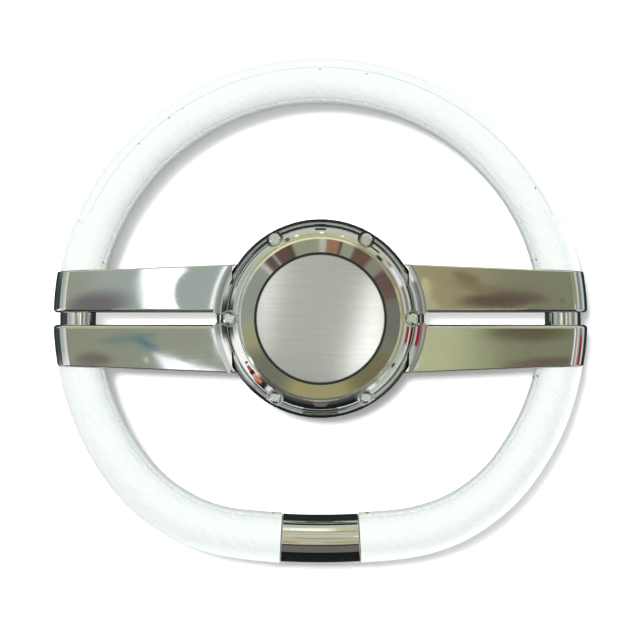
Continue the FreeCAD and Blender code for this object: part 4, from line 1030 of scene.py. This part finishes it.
def middle_paint(recipe, x, z):
    """What the centre plate shows, lit from the right; and above and below it what the bezel's flats show."""
    low = z.rise(-0.02, -0.062)
    paint = recipe.mixed((x - z * 0.2).rise(-0.034, -0.062), (0.62, 0.64, 0.58), (1.5, 1.5, 1.47))
    paint = recipe.mixed(low * 0.25, paint, (0.45, 0.48, 0.46))
    paint = recipe.mixed((x - z * 0.25).rise(0.026, 0.050), paint, (1.9, 1.9, 1.88))
    crown_above = recipe.mixed(x.rise(0.026, 0.038), (0.92, 0.86, 0.62), (0.36, 0.34, 0.25))
    ledge_above = recipe.mixed(x.rise(-0.058, -0.070), (0.05, 0.05, 0.045), (0.20, 0.22, 0.21))
    crown_below = recipe.mixed(x.rise(-0.02, -0.045), (0.17, 0.19, 0.185), (0.12, 0.09, 0.07))
    crown_below = recipe.mixed(x.rise(0.02, 0.05), crown_below, (0.27, 0.29, 0.26))
    ledge_below = recipe.mixed((x - 0.004).size().rise(0.018, 0.026), (0.30, 0.31, 0.22), (0.78, 0.80, 0.78))
    reach = (x * x + z * z) ** 0.5
    above = recipe.mixed(reach.rise(0.0805, 0.0825), crown_above, ledge_above)
    below = recipe.mixed(reach.rise(0.0805, 0.0825), crown_below, ledge_below)
    flats = recipe.mixed(z.rise(-0.001, 0.001), below, above)
    return recipe.mixed(reach.rise(0.067, 0.069), paint, flats)


def cone_paint(recipe, x, z):
    """What the cone shows, by the clock: grey above, olive below, with brown and maroon folds."""
    reach = (x * x + z * z) ** 0.5
    right, up = (0.0 - x) / reach, (0.0 - z) / reach
    paint = recipe.mixed(up.rise(-0.9, 0.6), (0.39, 0.36, 0.17), (0.38, 0.41, 0.32))
    # clock, half width, softness and colour
    folds = [(105, 10, 8, (0.34, 0.365, 0.25)), (160, 18, 10, (0.33, 0.35, 0.30)), (-135, 15, 12, (0.19, 0.20, 0.145)),
             (-45, 18, 12, (0.20, 0.18, 0.09)), (0, 24, 14, (0.19, 0.19, 0.15)), (28, 12, 4, (0.155, 0.095, 0.08)),
             (45, 6, 3, (0.28, 0.28, 0.21)), (57, 7, 2, (0.165, 0.10, 0.08)), (69, 4, 1, (0.35, 0.36, 0.25)),
             (74.5, 1.2, 0.6, (0.12, 0.09, 0.075)), (80.5, 4.6, 0.8, (0.39, 0.20, 0.11)), (88, 2.2, 1.2, (0.58, 0.60, 0.50)),
             (115, 3, 2, (0.10, 0.075, 0.055)), (122, 6, 2, (0.15, 0.085, 0.08)), (131, 4, 1.5, (0.14, 0.09, 0.085)),
             (127, 0.9, 0.6, (0.35, 0.34, 0.30)), (137.5, 1.4, 0.8, (0.62, 0.62, 0.56))]
    for clock, half, soft, color in folds:
        paint = recipe.mixed(toward(right, up, clock, half, soft), paint, color)
    return paint


new_card("left_card", -0.235, -0.0622, 0.075, left_paint)
new_card("right_card", 0.0622, 0.235, 0.075, right_paint)
new_card("middle_card", -0.0620, 0.0620, 0.096, middle_paint)
new_ring_card("cone_card", 0.250, 0.288, cone_paint)

# %% [markdown]
# ## The camera
# The photo looks straight at the wheel's face from a little over a metre away. The camera stands on the
# shaft's line, 1.2 m in front of the rim, and its lens is long enough to fill the picture as the photo does.

# %% Camera
camera_data = bpy.data.cameras.new("front_camera")
camera_data.sensor_width = 36.0
camera_data.lens = 101.05
camera = bpy.data.objects.new("front_camera", camera_data)
bpy.context.scene.collection.objects.link(camera)
camera.location = (-0.0003, -1.23, -0.0009)
camera.rotation_euler = (math.pi / 2, 0.0, 0.0)
bpy.context.scene.camera = camera
bpy.context.scene.view_settings.view_transform = "Standard"
print("camera at", tuple(camera.location))
